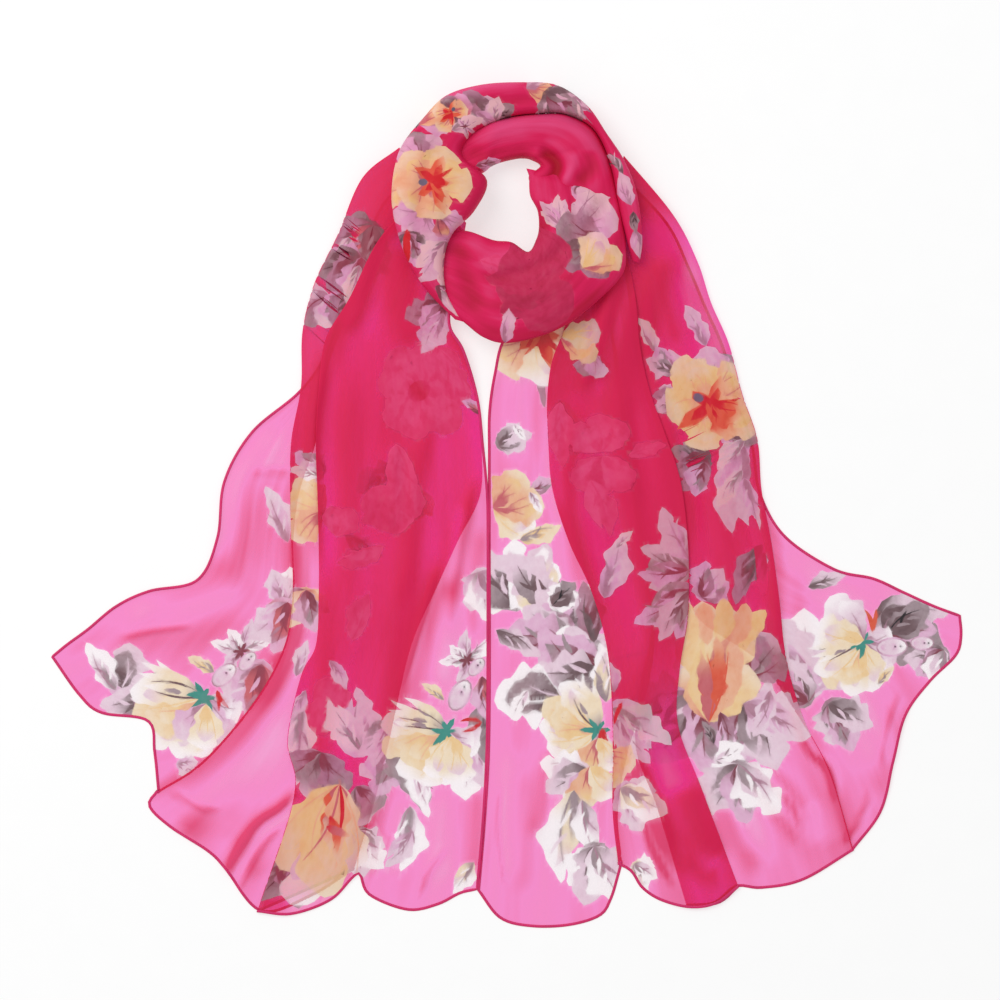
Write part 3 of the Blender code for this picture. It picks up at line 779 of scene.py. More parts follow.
def printed_mesh(name, cloth, drawings, bare):
    """The cloth as a mesh with its print cut into it. drawings is a list of (columns, drawing)."""
    flat, triangles, owners, axes, tones = cut(cloth, drawings)
    points = cloth.place(flat)
    mesh = bpy.data.meshes.new(name)
    mesh.from_pydata((points * MM).tolist(), [], triangles.tolist())
    mesh.shade_smooth()
    colours = inked(points, triangles, owners, axes, tones, bare)
    mesh.color_attributes.new("print", "FLOAT_COLOR", "CORNER").data.foreach_set("color", colours.ravel())
    weave = (flat[triangles.ravel()] * MM).ravel()
    mesh.uv_layers.new(name="weave").data.foreach_set("uv", weave)
    # the painted shade and highlights of creases, folds, stacked layers and the neck, kept on the mesh
    shade = cloth.place(flat, cloth.shade)[:, 0]
    mesh.attributes.new("shade", "FLOAT", "POINT").data.foreach_set("value", shade)
    return in_scene(name, mesh)


class Value:
    """A value in a material's nodes. Sums of values make its maths nodes."""

    def __init__(self, tree, socket=None):
        self.tree, self.socket = tree, socket

    def node(self, kind, settings, output, **sockets):
        """Any node, by its settings and what feeds its sockets, an underscore for a space in a name."""
        node = self.tree.nodes.new(kind)
        for name, setting in settings.items():
            setattr(node, name, setting)
        for name, value in sockets.items():
            key = int(name[5:]) if name.startswith("input") else name.replace("_", " ")
            if isinstance(value, Value):
                self.tree.links.new(value.socket, node.inputs[key])
            else:
                node.inputs[key].default_value = value
        return Value(self.tree, node.outputs[output])

    def maths(self, operation, *values):
        inputs = {f"input{k}": value for k, value in enumerate(values)}
        return self.node("ShaderNodeMath", {"operation": operation}, 0, **inputs)

    def __add__(self, other):
        return self.maths("ADD", self, other)

    def __mul__(self, other):
        return self.maths("MULTIPLY", self, other)

    def __sub__(self, other):
        return self.maths("SUBTRACT", self, other)

    def __rsub__(self, other):
        return self.maths("SUBTRACT", other, self)

    __radd__ = __add__
    __rmul__ = __mul__

    def held(self):
        """The value kept from 0 to 1."""
        return self.node("ShaderNodeClamp", {}, 0, Value=self)

    def mix(self, first, second, blend="MIX"):
        """The first colour where this value is 0 and the second where it is 1."""
        settings = {"data_type": "RGBA", "blend_type": blend}
        return self.node("ShaderNodeMix", settings, 2, input0=self, input6=first, input7=second)

    def noise(self, place, scale, detail=2.0):
        sockets = {"Vector": place, "Scale": scale, "Detail": detail, "Roughness": 0.55}
        return self.node("ShaderNodeTexNoise", {}, 0, **sockets)

    def shader(self, **sockets):
        return self.node("ShaderNodeBsdfPrincipled", {}, 0, **sockets)

    def covers_surface(self):
        end = self.tree.nodes.new("ShaderNodeOutputMaterial")
        self.tree.links.new(self.socket, end.inputs["Surface"])


def new_material(name):
    """An empty material, as the start of its sums."""
    material = bpy.data.materials.new(name)
    material.use_nodes = True
    material.node_tree.nodes.clear()
    return material, Value(material.node_tree)


GATHER_STRETCH = 0.16  # scale of the gathers along the cloth, to 1 across it
WET_SCALE = 130.0
BROAD_SCALE = 9.0
BROAD_MIDDLE, BROAD_DEPTH = 0.47, 0.7
WASH_CONTRAST, WASH_DEPTH = 3.0, 0.4  # the ink's darker pools
GLOW_CONTRAST, GLOW_DEPTH = 2.6, 0.9  # its paler ones
INK_PAINTED_SHADE = 0.24  # how far the painted shade darkens the ink towards the shade colour
WET_PALE = (1.0, 0.94, 0.96, 1.0)


def woven(start, body, shaded, pale, gathers):
    """The threads of the cloth by their gathers, with the shade and highlights painted along their creases,
    folds and stacked layers, the ink on them, darkened too by that painted shade, and its strength, and how
    dark the painted shade and how pale the painted highlights are."""
    uv = start.node("ShaderNodeUVMap", {"uv_map": "weave"}, 0)
    ink = start.node("ShaderNodeVertexColor", {"layer_name": "print"}, 0)
    strength = start.node("ShaderNodeVertexColor", {"layer_name": "print"}, 1)
    shade = start.node("ShaderNodeAttribute", {"attribute_name": "shade"}, 2)
    long = start.node("ShaderNodeMapping", {}, 0, Vector=uv, Scale=(1.0, GATHER_STRETCH, 1.0))
    gather = start.noise(long, gathers)
    wet = start.noise(uv, WET_SCALE)
    broad = start.noise(uv, BROAD_SCALE, 0.0)
    # the painted shade and highlights of the shade attribute, with random darker and paler streaks and
    # patches
    tone = shade + (gather - 0.5) + (broad - BROAD_MIDDLE) * BROAD_DEPTH
    dark = tone.held()
    light = (0.0 - tone).held()
    # the threads' colour, taken towards the painted shade colour and the painted highlight colour
    threads = light.mix(dark.mix((*body, 1.0), (*shaded, 1.0)), (*pale, 1.0))
    wash = ((wet - 0.5) * WASH_CONTRAST).held() * WASH_DEPTH
    glow = ((0.5 - wet) * GLOW_CONTRAST).held() * (1.0 - strength) * GLOW_DEPTH
    printed = glow.mix(wash.mix(ink, ink, "MULTIPLY"), WET_PALE)
    # the painted shade darkens the ink as well
    printed = (dark * INK_PAINTED_SHADE).mix(printed, (*shaded, 1.0))
    bump = start.node("ShaderNodeBump", {}, 0, Height=gather, Strength=0.5, Distance=0.002)
    return threads, printed, strength, dark, light, bump


def cloth_shader(start, base, bump):
    """The dull surface of the threads."""
    return start.shader(Base_Color=base, Roughness=0.66, Normal=bump, Specular_IOR_Level=0.2)


TAIL_GATHERS = 42.0
INK_HIDES = 2.4  # how soon the ink hides the threads' own colour, by its strength
INK_TINT = (1.0, 0.93, 0.96)  # what an inked layer lets through


def chiffon(name, tint, body, shaded, pale, covers):
    """Sheer cloth: tint is what one bare layer lets through, body the colour of its threads, and the next two
    the colours of the shade painted along its creases, folds and stacked layers and of its painted
    highlights.
    covers says how solid each of them is."""
    material, start = new_material(name)
    bare_cover, shaded_cover, highlight_cover = covers
    threads, ink, strength, dark, light, bump = woven(start, body, shaded, pale, TAIL_GATHERS)
    printed = (strength * INK_HIDES).held()
    # the painted shade and highlights make the bare cloth more solid as well
    sheer = dark * shaded_cover + light * highlight_cover + bare_cover
    cover = printed * strength + (1.0 - printed) * sheer
    bare = start.node("ShaderNodeBsdfTransparent", {}, 0, Color=(*tint, 1.0))
    under_ink = start.node("ShaderNodeBsdfTransparent", {}, 0, Color=(*INK_TINT, 1.0))
    clear = start.node("ShaderNodeMixShader", {}, 0, input0=printed, input1=bare, input2=under_ink)
    cloth = cloth_shader(start, printed.mix(threads, ink), bump)
    whole = start.node("ShaderNodeMixShader", {}, 0, input0=cover.held(), input1=clear, input2=cloth)
    whole.covers_surface()
    return material


LEFT_PRINT = {  # by panel: kind, across, down, turn, size, tones
    0: (
        ("leaves", 157, 704, 184, 66, "mauve smoke wine"),
        ("rimmed", 122, 688, 80, 46, "smoke pearl"),
        ("leaf", 116, 690, 122, 56, "pearl"),
        ("leaves", 262, 664, 248, 66, "blush salmon"),
        ("striped", 204, 697, 168, 76, ""),
        ("petals", 206, 704, 245, 50, "blush cream"),
        ("leaf", 214, 672, 150, 30, "gold"),
        ("blossom", 241, 651, 120, 38, "pearl blush"),
        ("bud", 213, 685, 42, 30, ""),
        ("bud", 240, 670, 50, 23, ""),
        ("strokes", 217, 690, 275, 22, "red red"),
        ("leaves", 178, 764, 352, 24, "blush blush"),
        ("leaves", 285, 604, 96, 42, "pearl blush"),
        ("leaves", 288, 602, 240, 56, "blush salmon"),
        ("leaf", 288, 542, 112, 60, "blush"),
    ),
    2: (
        ("leaves", 396, 468, 230, 54, "mauve smoke"),
        ("petals", 402, 520, 60, 44, "peach peach"),
        ("leaf", 345, 535, 330, 44, "smoke"),
        ("leaves", 324, 470, 168, 34, "mauve blush"),
        ("petals", 326, 512, 180, 46, "gold gold peach"),
        ("leaf", 322, 476, 168, 34, "pearl"),
        ("leaf", 330, 612, 145, 38, "blush"),
        ("leaves", 306, 590, 262, 44, "peach mauve"),
        ("leaf", 296, 676, 72, 38, "blush"),
        ("petals", 330, 296, 226, 38, "pearl mauve pearl"),
        ("leaves", 350, 294, 226, 42, "mauve wine"),
        ("leaf", 336, 322, 30, 30, "pearl"),
        ("leaves", 374, 226, 238, 54, "wine salmon umber"),
        ("leaf", 352, 236, 238, 36, "pearl"),
        ("leaves", 362, 258, 226, 54, "umber wine mauve"),
        ("leaf", 360, 266, 250, 40, "pearl"),
        ("leaf", 372, 262, 330, 28, "mauve"),
    ),
    4: (
        ("petals", 350, 716, 150, 44, "faint faint"),
        ("saws", 362, 752, 108, 70, "blush pearl"),
        ("leaf", 330, 660, 300, 34, "blush"),
        ("leaf", 298, 702, 268, 84, "pearl"),
        ("leaf", 306, 690, 240, 34, "blush"),
        ("petals", 322, 752, 250, 48, "mauve smoke mauve"),
        ("leaf", 288, 792, 262, 40, "umber"),
        ("leaves", 290, 846, 244, 66, "smoke umber wine"),
        ("petals", 356, 786, 300, 40, "smoke mauve"),
        ("leaves", 358, 830, 290, 50, "smoke pearl"),
        ("bell", 340, 784, 252, 130, "cream gold cream"),
        ("leaf", 382, 722, 318, 50, "wine"),
        ("leaves", 402, 742, 248, 62, "smoke mauve umber"),
        ("leaf", 408, 742, 282, 72, "umber"),
        ("leaf", 420, 756, 278, 62, "pearl"),
        ("leaf", 398, 720, 222, 54, "smoke"),
        ("leaf", 388, 726, 250, 44, "blush"),
        ("leaf", 410, 806, 262, 66, "pearl"),
        ("leaf", 412, 832, 232, 44, "blush"),
        ("leaf", 474, 862, 236, 38, "cream"),
        ("leaves", 470, 736, 286, 66, "pearl blush"),
        ("leaf", 490, 690, 268, 76, "umber"),
        ("striped", 447, 731, 168, 68, ""),
        ("petals", 452, 736, 262, 52, "cream cream"),
        ("leaf", 444, 700, 144, 28, "gold"),
        ("leaf", 482, 676, 278, 46, "salmon"),
        ("blossom", 467, 660, 140, 34, "pearl blush"),
        ("bud", 469, 675, 48, 22, ""),
        ("bud", 452, 710, 62, 34, ""),
        ("strokes", 482, 722, 178, 22, "red red"),
        ("leaves", 478, 572, 298, 54, "pearl blush"),
        ("petals", 421, 388, 110, 46, "faint faint faint faint"),
        ("petals", 421, 390, 290, 48, "faint faint faint faint"),
        ("spot", 419, 391, 40, 20, "ghost rose ghost"),
        ("leaf", 440, 350, 300, 66, "faint"),
        ("leaf", 484, 414, 150, 26, "salmon"),
        ("petals", 398, 534, 96, 50, "faint ghost"),
        ("leaf", 396, 444, 282, 76, "faint"),
        ("petals", 336, 536, 80, 30, "faint faint"),
        ("leaf", 384, 546, 200, 50, "faint"),
        ("leaf", 352, 640, 70, 50, "faint"),
        ("leaf", 356, 238, 84, 26, "cream"),
        ("leaves", 446, 304, 222, 46, "wine mauve"),
        ("leaf", 444, 314, 240, 46, "blush"),
    ),
}

TAIL_TINT = (0.96, 0.42, 0.80)  # linear
TAIL_BODY = (0.95, 0.06, 0.13)
# the colour of the painted shade along creases, folds and stacked layers, then that of the painted highlights
TAIL_PAINTED_SHADE = (0.80, 0.016, 0.095)
TAIL_PAINTED_HIGHLIGHT = (1.0, 0.62, 0.88)
# how solid the bare cloth, its painted shade and its painted highlights are
TAIL_COVERS = (0.165, 0.66, 0.45)
BARE = (240, 137, 204)


def drawn(rows_by_panel, spans, seed):
    """The drawings of a cloth, each with the columns that it is laid on."""
    found = []
    for panel, rows in rows_by_panel.items():
        drawing = Drawing(seed + panel)
        drawing.draw(rows)
        found.append((spans[panel], drawing))
    return found


left_cloth, left_spans = tail_cloth(LEFT_FOLDS, LEFT_PANELS, LEFT_CREASES)
left_tail = printed_mesh("left_tail_cloth", left_cloth, drawn(LEFT_PRINT, left_spans, 11), BARE)
tail_material = chiffon("sheer chiffon", TAIL_TINT, TAIL_BODY, TAIL_PAINTED_SHADE, TAIL_PAINTED_HIGHLIGHT, TAIL_COVERS)
left_tail.data.materials.append(tail_material)
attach(left_tail, "root")
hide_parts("left_tail")

# ------------------------------------------------------------- left tail's hem
# The edge of the cloth, rolled under twice by the machine and overlocked in pink polyester thread, 2 mm
# wide. It runs round the three cut sides that show.

HEM_WIDTH = 2.1
HEM_HEIGHT = 0.8
HEM_AROUND = 8
HEM_LOWEST = 0.05
HEM_PINK = (226, 32, 110)


def rolled_hem(name, cloth):
    """A flattened roll round three sides of a tail."""
    wide, long = cloth.across[-1], cloth.along[-1]
    sides = [
        [(0, y) for y in cloth.along],
        [(x, long) for x in cloth.across[1:]],
        [(wide, y) for y in cloth.along[-2::-1]],
    ]
    flat = np.array([place for side in sides for place in side], float)
    path = cloth.place(flat)
    way = ways_along(path)
    up = unit(cloth.place(flat, cloth.normals))
    side = unit(np.cross(up, way))
    up = np.cross(way, side)
    angle = np.linspace(0, 2 * np.pi, HEM_AROUND, endpoint=False)
    ring = side[:, None] * (np.cos(angle) * HEM_WIDTH / 2)[:, None]
    ring = ring + up[:, None] * (np.sin(angle) * HEM_HEIGHT / 2)[:, None]
    points = path[:, None] + ring
    points[..., 2] = np.maximum(points[..., 2], HEM_LOWEST)
    count = len(path)
    faces = [tuple(range(HEM_AROUND))[::-1]]
    faces.append(tuple(range((count - 1) * HEM_AROUND, count * HEM_AROUND)))
    for i in range(count - 1):
        for j in range(HEM_AROUND):
            a, b = i * HEM_AROUND + j, i * HEM_AROUND + (j + 1) % HEM_AROUND
            faces.append((a, b, b + HEM_AROUND, a + HEM_AROUND))
    mesh = bpy.data.meshes.new(name)
    mesh.from_pydata((points.reshape(-1, 3) * MM).tolist(), [], faces)
    mesh.shade_smooth()
    return in_scene(name, mesh)


def thread(name, colour):
    """Overlocked polyester thread: fine slanted turns with a soft shine."""
    material, start = new_material(name)
    place = start.node("ShaderNodeTexCoord", {}, 3)
    turns = start.node("ShaderNodeTexWave", {}, 1, Vector=place, Scale=260.0, Distortion=1.5, Detail=1.0)
    patch = start.noise(place, 60.0, 3.0)
    base = ((patch - 0.4) * 1.5).held().mix((*linear(colour), 1.0), (*(linear(colour) * 0.7), 1.0))
    bump = start.node("ShaderNodeBump", {}, 0, Height=turns, Strength=0.5, Distance=0.0004)
    start.shader(Base_Color=base, Roughness=0.5, Normal=bump).covers_surface()
    return material


left_hem = rolled_hem("left_tail_rolled_hem", left_cloth)
thread_material = thread("overlock thread", HEM_PINK)
left_hem.data.materials.append(thread_material)
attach(left_hem, "root")
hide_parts("left_tail_hem")

# ----------------------------------------------------------------- right tail
# The other end of the same cloth, laid in seven panels. Its top pleat is narrow at the neck and opens
# towards the hem, over a wide strip whose selvedge faces the other tail.

# Inner selvedge, under fold, the top panel's two edges, under fold, pleat edge, under fold, outer selvedge.
RIGHT_FOLDS = (
    ((37, 160), (66, 190), (53, 178), (79, 207), (61, 187), (86, 255), (72, 206), (82, 243)),
    ((19, 134), (73, 156), (48, 146), (89, 178), (68, 161), (122, 212), (84, 178), (117, 206)),
    ((-1, 121), (77, 131), (41, 125), (95, 147), (74, 137), (140, 178), (90, 146), (134, 172)),
    ((-8, 96), (82, 106), (33, 103), (98, 116), (78, 112), (150, 148), (94, 116), (146, 144)),
    ((-12, 68), (86, 77), (30, 75), (105, 84), (82, 80), (163, 118), (101, 84), (159, 114)),
    ((-12.2, 36), (90, 45), (31, 43), (116, 53), (86, 48), (173, 81), (112, 52), (169, 77)),
    ((-12.2, 2), (95, 12), (34, 11), (127, 20), (91, 15), (184, 48), (123, 21), (180, 44)),
    ((-12.2, -33), (100, -21), (46, -27), (132, -14), (96, -20), (187, 11), (129, -12), (186, 8)),
    ((-12.1, -70), (106, -55), (62, -62), (134, -46), (102, -55), (194, -27), (132, -45), (204, -23)),
    ((-12.1, -106), (109, -93), (73, -100), (133, -83), (106, -92), (200, -70), (140, -82), (240, -47)),
    ((-12.2, -143), (104, -133), (77, -138), (127, -121), (98, -132), (205, -112), (184, -114), (269, -54)),
    ((-13, -187), (90, -178), (78, -181), (126, -161), (95, -178), (218, -157), (216, -158), (291, -64)),
    ((-16, -235), (82, -223), (78, -225), (143, -207), (110, -220), (237, -195), (236.2, -195.4), (313, -74)),
    ((-20, -282), (85, -261), (82, -262), (170, -279), (132, -293), (254, -252), (253.2, -252.4), (332, -81)),
)
RIGHT_PANELS = (
    (2, ((-4, -302), (19, -308), (47, -307), (69, -300), (77, -288), (82, -272))),
    (3, ()),
    (6, ((92, -268), (100, -280), (114, -289), (135, -294), (154, -291))),
    (5, ((155, -291),)),
    (4, ((152, -291), (168, -279), (187, -280), (217, -274))),
    (1, ()),
    (0, ((274, -224), (283, -188), (292, -154), (310, -129), (329, -110), (333, -96))),
)
# rise, half width, painted shade, partly for the denser cloth in a crease (below 0 for a painted highlight),
# and places that it runs through
RIGHT_CREASES = (
    (3.5, 7.0, 0.95, ((618, 262), (612, 290), (600, 330), (588, 372), (578, 400))),
    (2.5, 7.0, 0.5, ((578, 400), (570, 450), (568, 500), (580, 570), (600, 620))),
    (2.0, 12.0, 0.4, ((640, 262), (632, 320), (626, 380), (622, 440), (640, 520))),
    (2.5, 10.0, 0.6, ((666, 250), (660, 290), (668, 320), (684, 350))),
    (2.0, 5.0, 0.6, ((644, 270), (650, 330), (652, 374), (671, 440), (687, 512), (691, 583))),
    (1.0, 7.0, -0.55, ((676, 210), (700, 270), (716, 322), (732, 387), (752, 472))),
    (2.0, 6.0, 0.5, ((752, 480), (766, 520), (776, 560), (776, 630), (784, 700))),
    (2.5, 14.0, 0.35, ((716, 470), (724, 530), (728, 590), (712, 640))),
    (2.0, 7.0, -0.4, ((556, 400), (552, 450), (560, 520))),
    (2.0, 12.0, -0.3, ((600, 400), (596, 470), (612, 540), (636, 620), (650, 700))),
    (2.5, 14.0, 0.35, ((650, 400), (660, 480), (664, 560), (668, 650), (664, 720))),
    (3.0, 18.0, 0.9, ((682, 780), (692, 815), (706, 845), (712, 866))),
    (2.5, 9.0, 0.5, ((622, 740), (640, 780), (656, 820), (672, 856))),
    (2.0, 14.0, 0.5, ((626, 750), (646, 800), (664, 850), (672, 884))),
    (1.0, 26.0, -0.7, ((644, 196), (672, 240), (694, 290), (708, 340), (716, 390))),
    (2.0, 7.0, 0.6, ((556, 740), (546, 780), (540, 815), (530, 842))),
    (2.0, 7.0, -0.4, ((566, 760), (560, 800), (556, 840))),
    (2.0, 14.0, -0.35, ((512, 740), (510, 800), (512, 890))),
    (2.0, 9.0, 0.35, ((526, 760), (522, 830), (524, 900))),
    (2.0, 10.0, -0.3, ((520, 360), (516, 420), (518, 470))),
    (2.0, 3.0, 0.9, ((790, 700), (806, 748), (828, 770), (836, 806))),
    (1.0, 36.0, 0.2, ((780, 850), (830, 820), (870, 760))),
    (1.5, 2.5, 0.6, ((744, 750), (764, 778), (790, 806), (806, 836))),
    (1.5, 2.5, 0.5, ((870, 790), (858, 820), (840, 846))),
    (1.5, 2.5, 0.5, ((500, 780), (498, 830), (504, 890))),
    (1.5, 2.5, 0.6, ((640, 812), (652, 850), (676, 890))),
    (1.5, 2.5, 0.5, ((900, 690), (886, 730), (880, 770))),
    (2.0, 5.0, 0.5, ((738, 772), (760, 798), (784, 826), (800, 850))),
    (1.5, 5.0, 0.4, ((760, 760), (790, 790), (812, 830))),
    (1.5, 12.0, -0.4, ((804, 800), (820, 826), (826, 846))),
    (1.5, 16.0, -0.35, ((850, 660), (872, 710), (884, 770))),
    (1.5, 12.0, 0.35, ((900, 700), (894, 740), (880, 800))),
    (1.5, 12.0, -0.35, ((800, 540), (830, 590), (870, 620))),
    (1.5, 8.0, 0.3, ((786, 560), (800, 620), (806, 690))),
    (1.5, 8.0, 0.5, ((720, 800), (740, 840), (760, 878))),
    (2.0, 7.0, 0.45, ((680, 858), (700, 872), (722, 880))),
)
RIGHT_PRINT = {
    0: (
        ("leaf", 560, 400, 282, 64, "blush"),
        ("strokes", 538, 362, 278, 46, "mauve"),
        ("petals", 590, 352, 280, 30, "mauve blush"),
        ("hibiscus", 540, 328, 100, 64, "cream peach cream peach cream"),
        ("leaves", 499, 446, 36, 36, "smoke smoke"),
        ("leaf", 514, 424, 305, 20, "white"),
        ("leaf", 528, 492, 24, 30, "mauve"),
        ("petals", 493, 508, 6, 52, "cream peach peach"),
        ("leaf", 520, 540, 20, 44, "gold"),
        ("leaf", 530, 492, 300, 24, "pearl"),
        ("leaves", 516, 606, 96, 72, "smoke cream smoke"),
        ("leaves", 548, 604, 112, 66, "cream smoke"),
        ("rimmed", 592, 600, 216, 70, "smoke pearl"),
        ("leaves", 566, 642, 158, 62, "smoke mauve"),
        ("leaves", 552, 606, 32, 34, "white umber"),
        ("leaves", 590, 640, 186, 40, "white smoke"),
        ("leaf", 575, 618, 66, 42, "pearl"),
        ("leaves", 602, 672, 168, 84, "mauve smoke"),
        ("leaf", 496, 630, 330, 52, "smoke"),
        ("leaf", 594, 642, 100, 62, "wine"),
        ("rimmed", 560, 696, 184, 66, "smoke white"),
        ("leaf", 528, 690, 240, 34, "white"),
        ("striped", 598, 730, 122, 62, ""),
        ("leaf", 606, 702, 96, 60, "cream"),
        ("strokes", 602, 728, 262, 34, "red red"),
        ("petals", 598, 738, 282, 38, "peach cream"),
        ("leaves", 588, 770, 206, 52, "pearl smoke blush"),
        ("petals", 590, 766, 290, 46, "peach cream"),
        ("leaf", 574, 790, 262, 94, "cream"),
        ("leaf", 582, 800, 282, 60, "pearl"),
        ("leaves", 594, 846, 276, 66, "smoke pearl"),
    ),
    2: (
        ("petals", 590, 352, 280, 30, "mauve blush"),
        ("petals", 560, 336, 340, 44, "peach cream"),
        ("leaf", 560, 402, 272, 66, "faint"),
        ("petals", 600, 452, 90, 38, "faint faint faint"),
        ("petals", 602, 456, 270, 40, "faint ghost faint"),
        ("leaf", 628, 456, 16, 40, "faint"),
        ("leaf", 590, 480, 290, 60, "faint"),
        ("saws", 688, 570, 172, 60, "smoke mauve"),
        ("saws", 690, 590, 222, 70, "mauve smoke"),
        ("leaf", 690, 560, 118, 60, "blush"),
        ("leaf", 604, 598, 74, 66, "blush"),
        ("leaf", 616, 548, 46, 24, "pearl"),
        ("leaf", 614, 692, 106, 34, "blush"),
        ("saws", 612, 708, 318, 74, "blush pearl"),
        ("petals", 600, 752, 322, 44, "peach peach"),
        ("leaves", 620, 788, 318, 54, "blush cream"),
        ("leaves", 634, 864, 316, 30, "cream pearl"),
        ("strokes", 622, 702, 250, 24, "red"),
    ),
    4: (
        ("leaf", 706, 346, 118, 46, "blush"),
        ("leaf", 656, 352, 118, 38, "pearl"),
        ("leaves", 674, 372, 142, 34, "mauve smoke"),
        ("leaves", 676, 398, 190, 28, "wine smoke"),
        ("leaves", 708, 456, 190, 42, "umber wine"),
        ("leaves", 704, 462, 240, 42, "wine mauve"),
        ("leaves", 726, 424, 316, 44, "mauve umber"),
        ("leaf", 744, 446, 262, 88, "blush"),
        ("leaf", 742, 470, 236, 46, "pearl"),
        ("leaf", 744, 478, 286, 56, "blush"),
        ("leaf", 744, 440, 228, 40, "pearl"),
        ("petals", 712, 392, 100, 48, "mauve blush gold"),
        ("hibiscus", 706, 402, 152, 56, "gold gold peach peach gold"),
        ("petals", 712, 404, 320, 34, "coral coral"),
        ("leaf", 762, 544, 246, 66, "wine"),
        ("leaf", 764, 552, 268, 30, "mauve"),
        ("leaves", 702, 598, 70, 42, "blush mauve"),
        ("leaf", 700, 622, 215, 44, "smoke"),
        ("leaves", 700, 694, 236, 88, "mauve smoke mauve"),
        ("leaves", 744, 704, 300, 78, "mauve smoke blush"),
        ("petals", 748, 676, 60, 50, "mauve smoke mauve"),
        ("leaf", 704, 700, 112, 60, "blush"),
        ("flare", 709, 722, 82, 124, "gold peach gold"),
        ("leaf", 720, 712, 282, 46, "mauve"),
        ("leaf", 714, 744, 118, 26, "umber"),
        ("leaves", 716, 760, 10, 32, "pearl white"),
        ("leaves", 738, 764, 278, 64, "smoke mauve pearl"),
        ("leaf", 770, 714, 316, 38, "blush"),
        ("leaf", 770, 690, 250, 50, "blush"),
    ),
    6: (
        ("leaf", 774, 500, 290, 34, "pearl"),
        ("leaves", 808, 694, 108, 98, "pearl blush"),
        ("leaves", 808, 702, 134, 52, "smoke mauve"),
        ("leaf", 808, 587, 18, 40, "smoke"),
        ("leaves", 828, 704, 316, 56, "mauve smoke"),
        ("leaves", 882, 612, 346, 78, "umber smoke"),
        ("leaves", 888, 632, 18, 52, "mauve umber"),
        ("leaves", 944, 650, 226, 44, "smoke mauve pearl"),
        ("striped", 862, 642, 204, 58, ""),
        ("petals", 864, 640, 150, 54, "pearl cream"),
        ("bud", 876, 648, 4, 32, ""),
        ("bud", 910, 643, 0, 24, ""),
        ("strokes", 872, 632, 80, 24, "coral coral"),
        ("leaf", 878, 684, 48, 24, "gold"),
    ),
}

right_cloth, right_spans = tail_cloth(RIGHT_FOLDS, RIGHT_PANELS, RIGHT_CREASES)
right_tail = printed_mesh("right_tail_cloth", right_cloth, drawn(RIGHT_PRINT, right_spans, 23), BARE)
right_tail.data.materials.append(tail_material)
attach(right_tail, "root")
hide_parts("right_tail")

# ------------------------------------------------------------ right tail's hem
# The same rolled and overlocked edge, round the three sides of the right tail that show.

right_hem = rolled_hem("right_tail_rolled_hem", right_cloth)
right_hem.data.materials.append(thread_material)
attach(right_hem, "root")
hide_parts("right_tail_hem")

# ------------------------------------------------------------ loop's outer wrap
# The stretch of the loop that comes up the left side and goes over the top: the same cloth gathered into
# many layers, so that it is nearly solid. It is held by its own turns round the neck.

OUTER_WRAP = (  # outer edge, inner edge, height of the underside, height of the crown
    ((-37, 135), (-30, 133), 15, 19),
    ((-56, 154), (-43, 154), 14, 26),
    ((-70, 175), (-45, 178), 14, 32),
    ((-78, 195), (-39, 197), 14, 36),
    ((-83, 220), (-23, 214), 13, 38),
    ((-81, 245), (-14, 236), 11, 37),
    ((-75, 263), (-32, 254), 5, 34),
    ((-61, 281), (-26, 268), 0, 31),
    ((-44, 298), (-12, 277), 0, 29),
    ((-19, 306), (4, 283), 0, 28),
    ((10, 308), (22, 285), 0, 27),
    ((37, 306), (42, 285), 0, 26),
    ((59, 291), (60, 277), 0, 26),
    ((73, 271), (70, 264), 3, 26),
    ((86, 251), (77, 244), 9, 27),
    ((94, 231), (81, 223), 13, 28),
    ((98, 209), (85, 204), 14, 28),
    ((99, 190), (89, 188), 14, 26),
    ((97, 176), (92, 178), 15, 20),
)
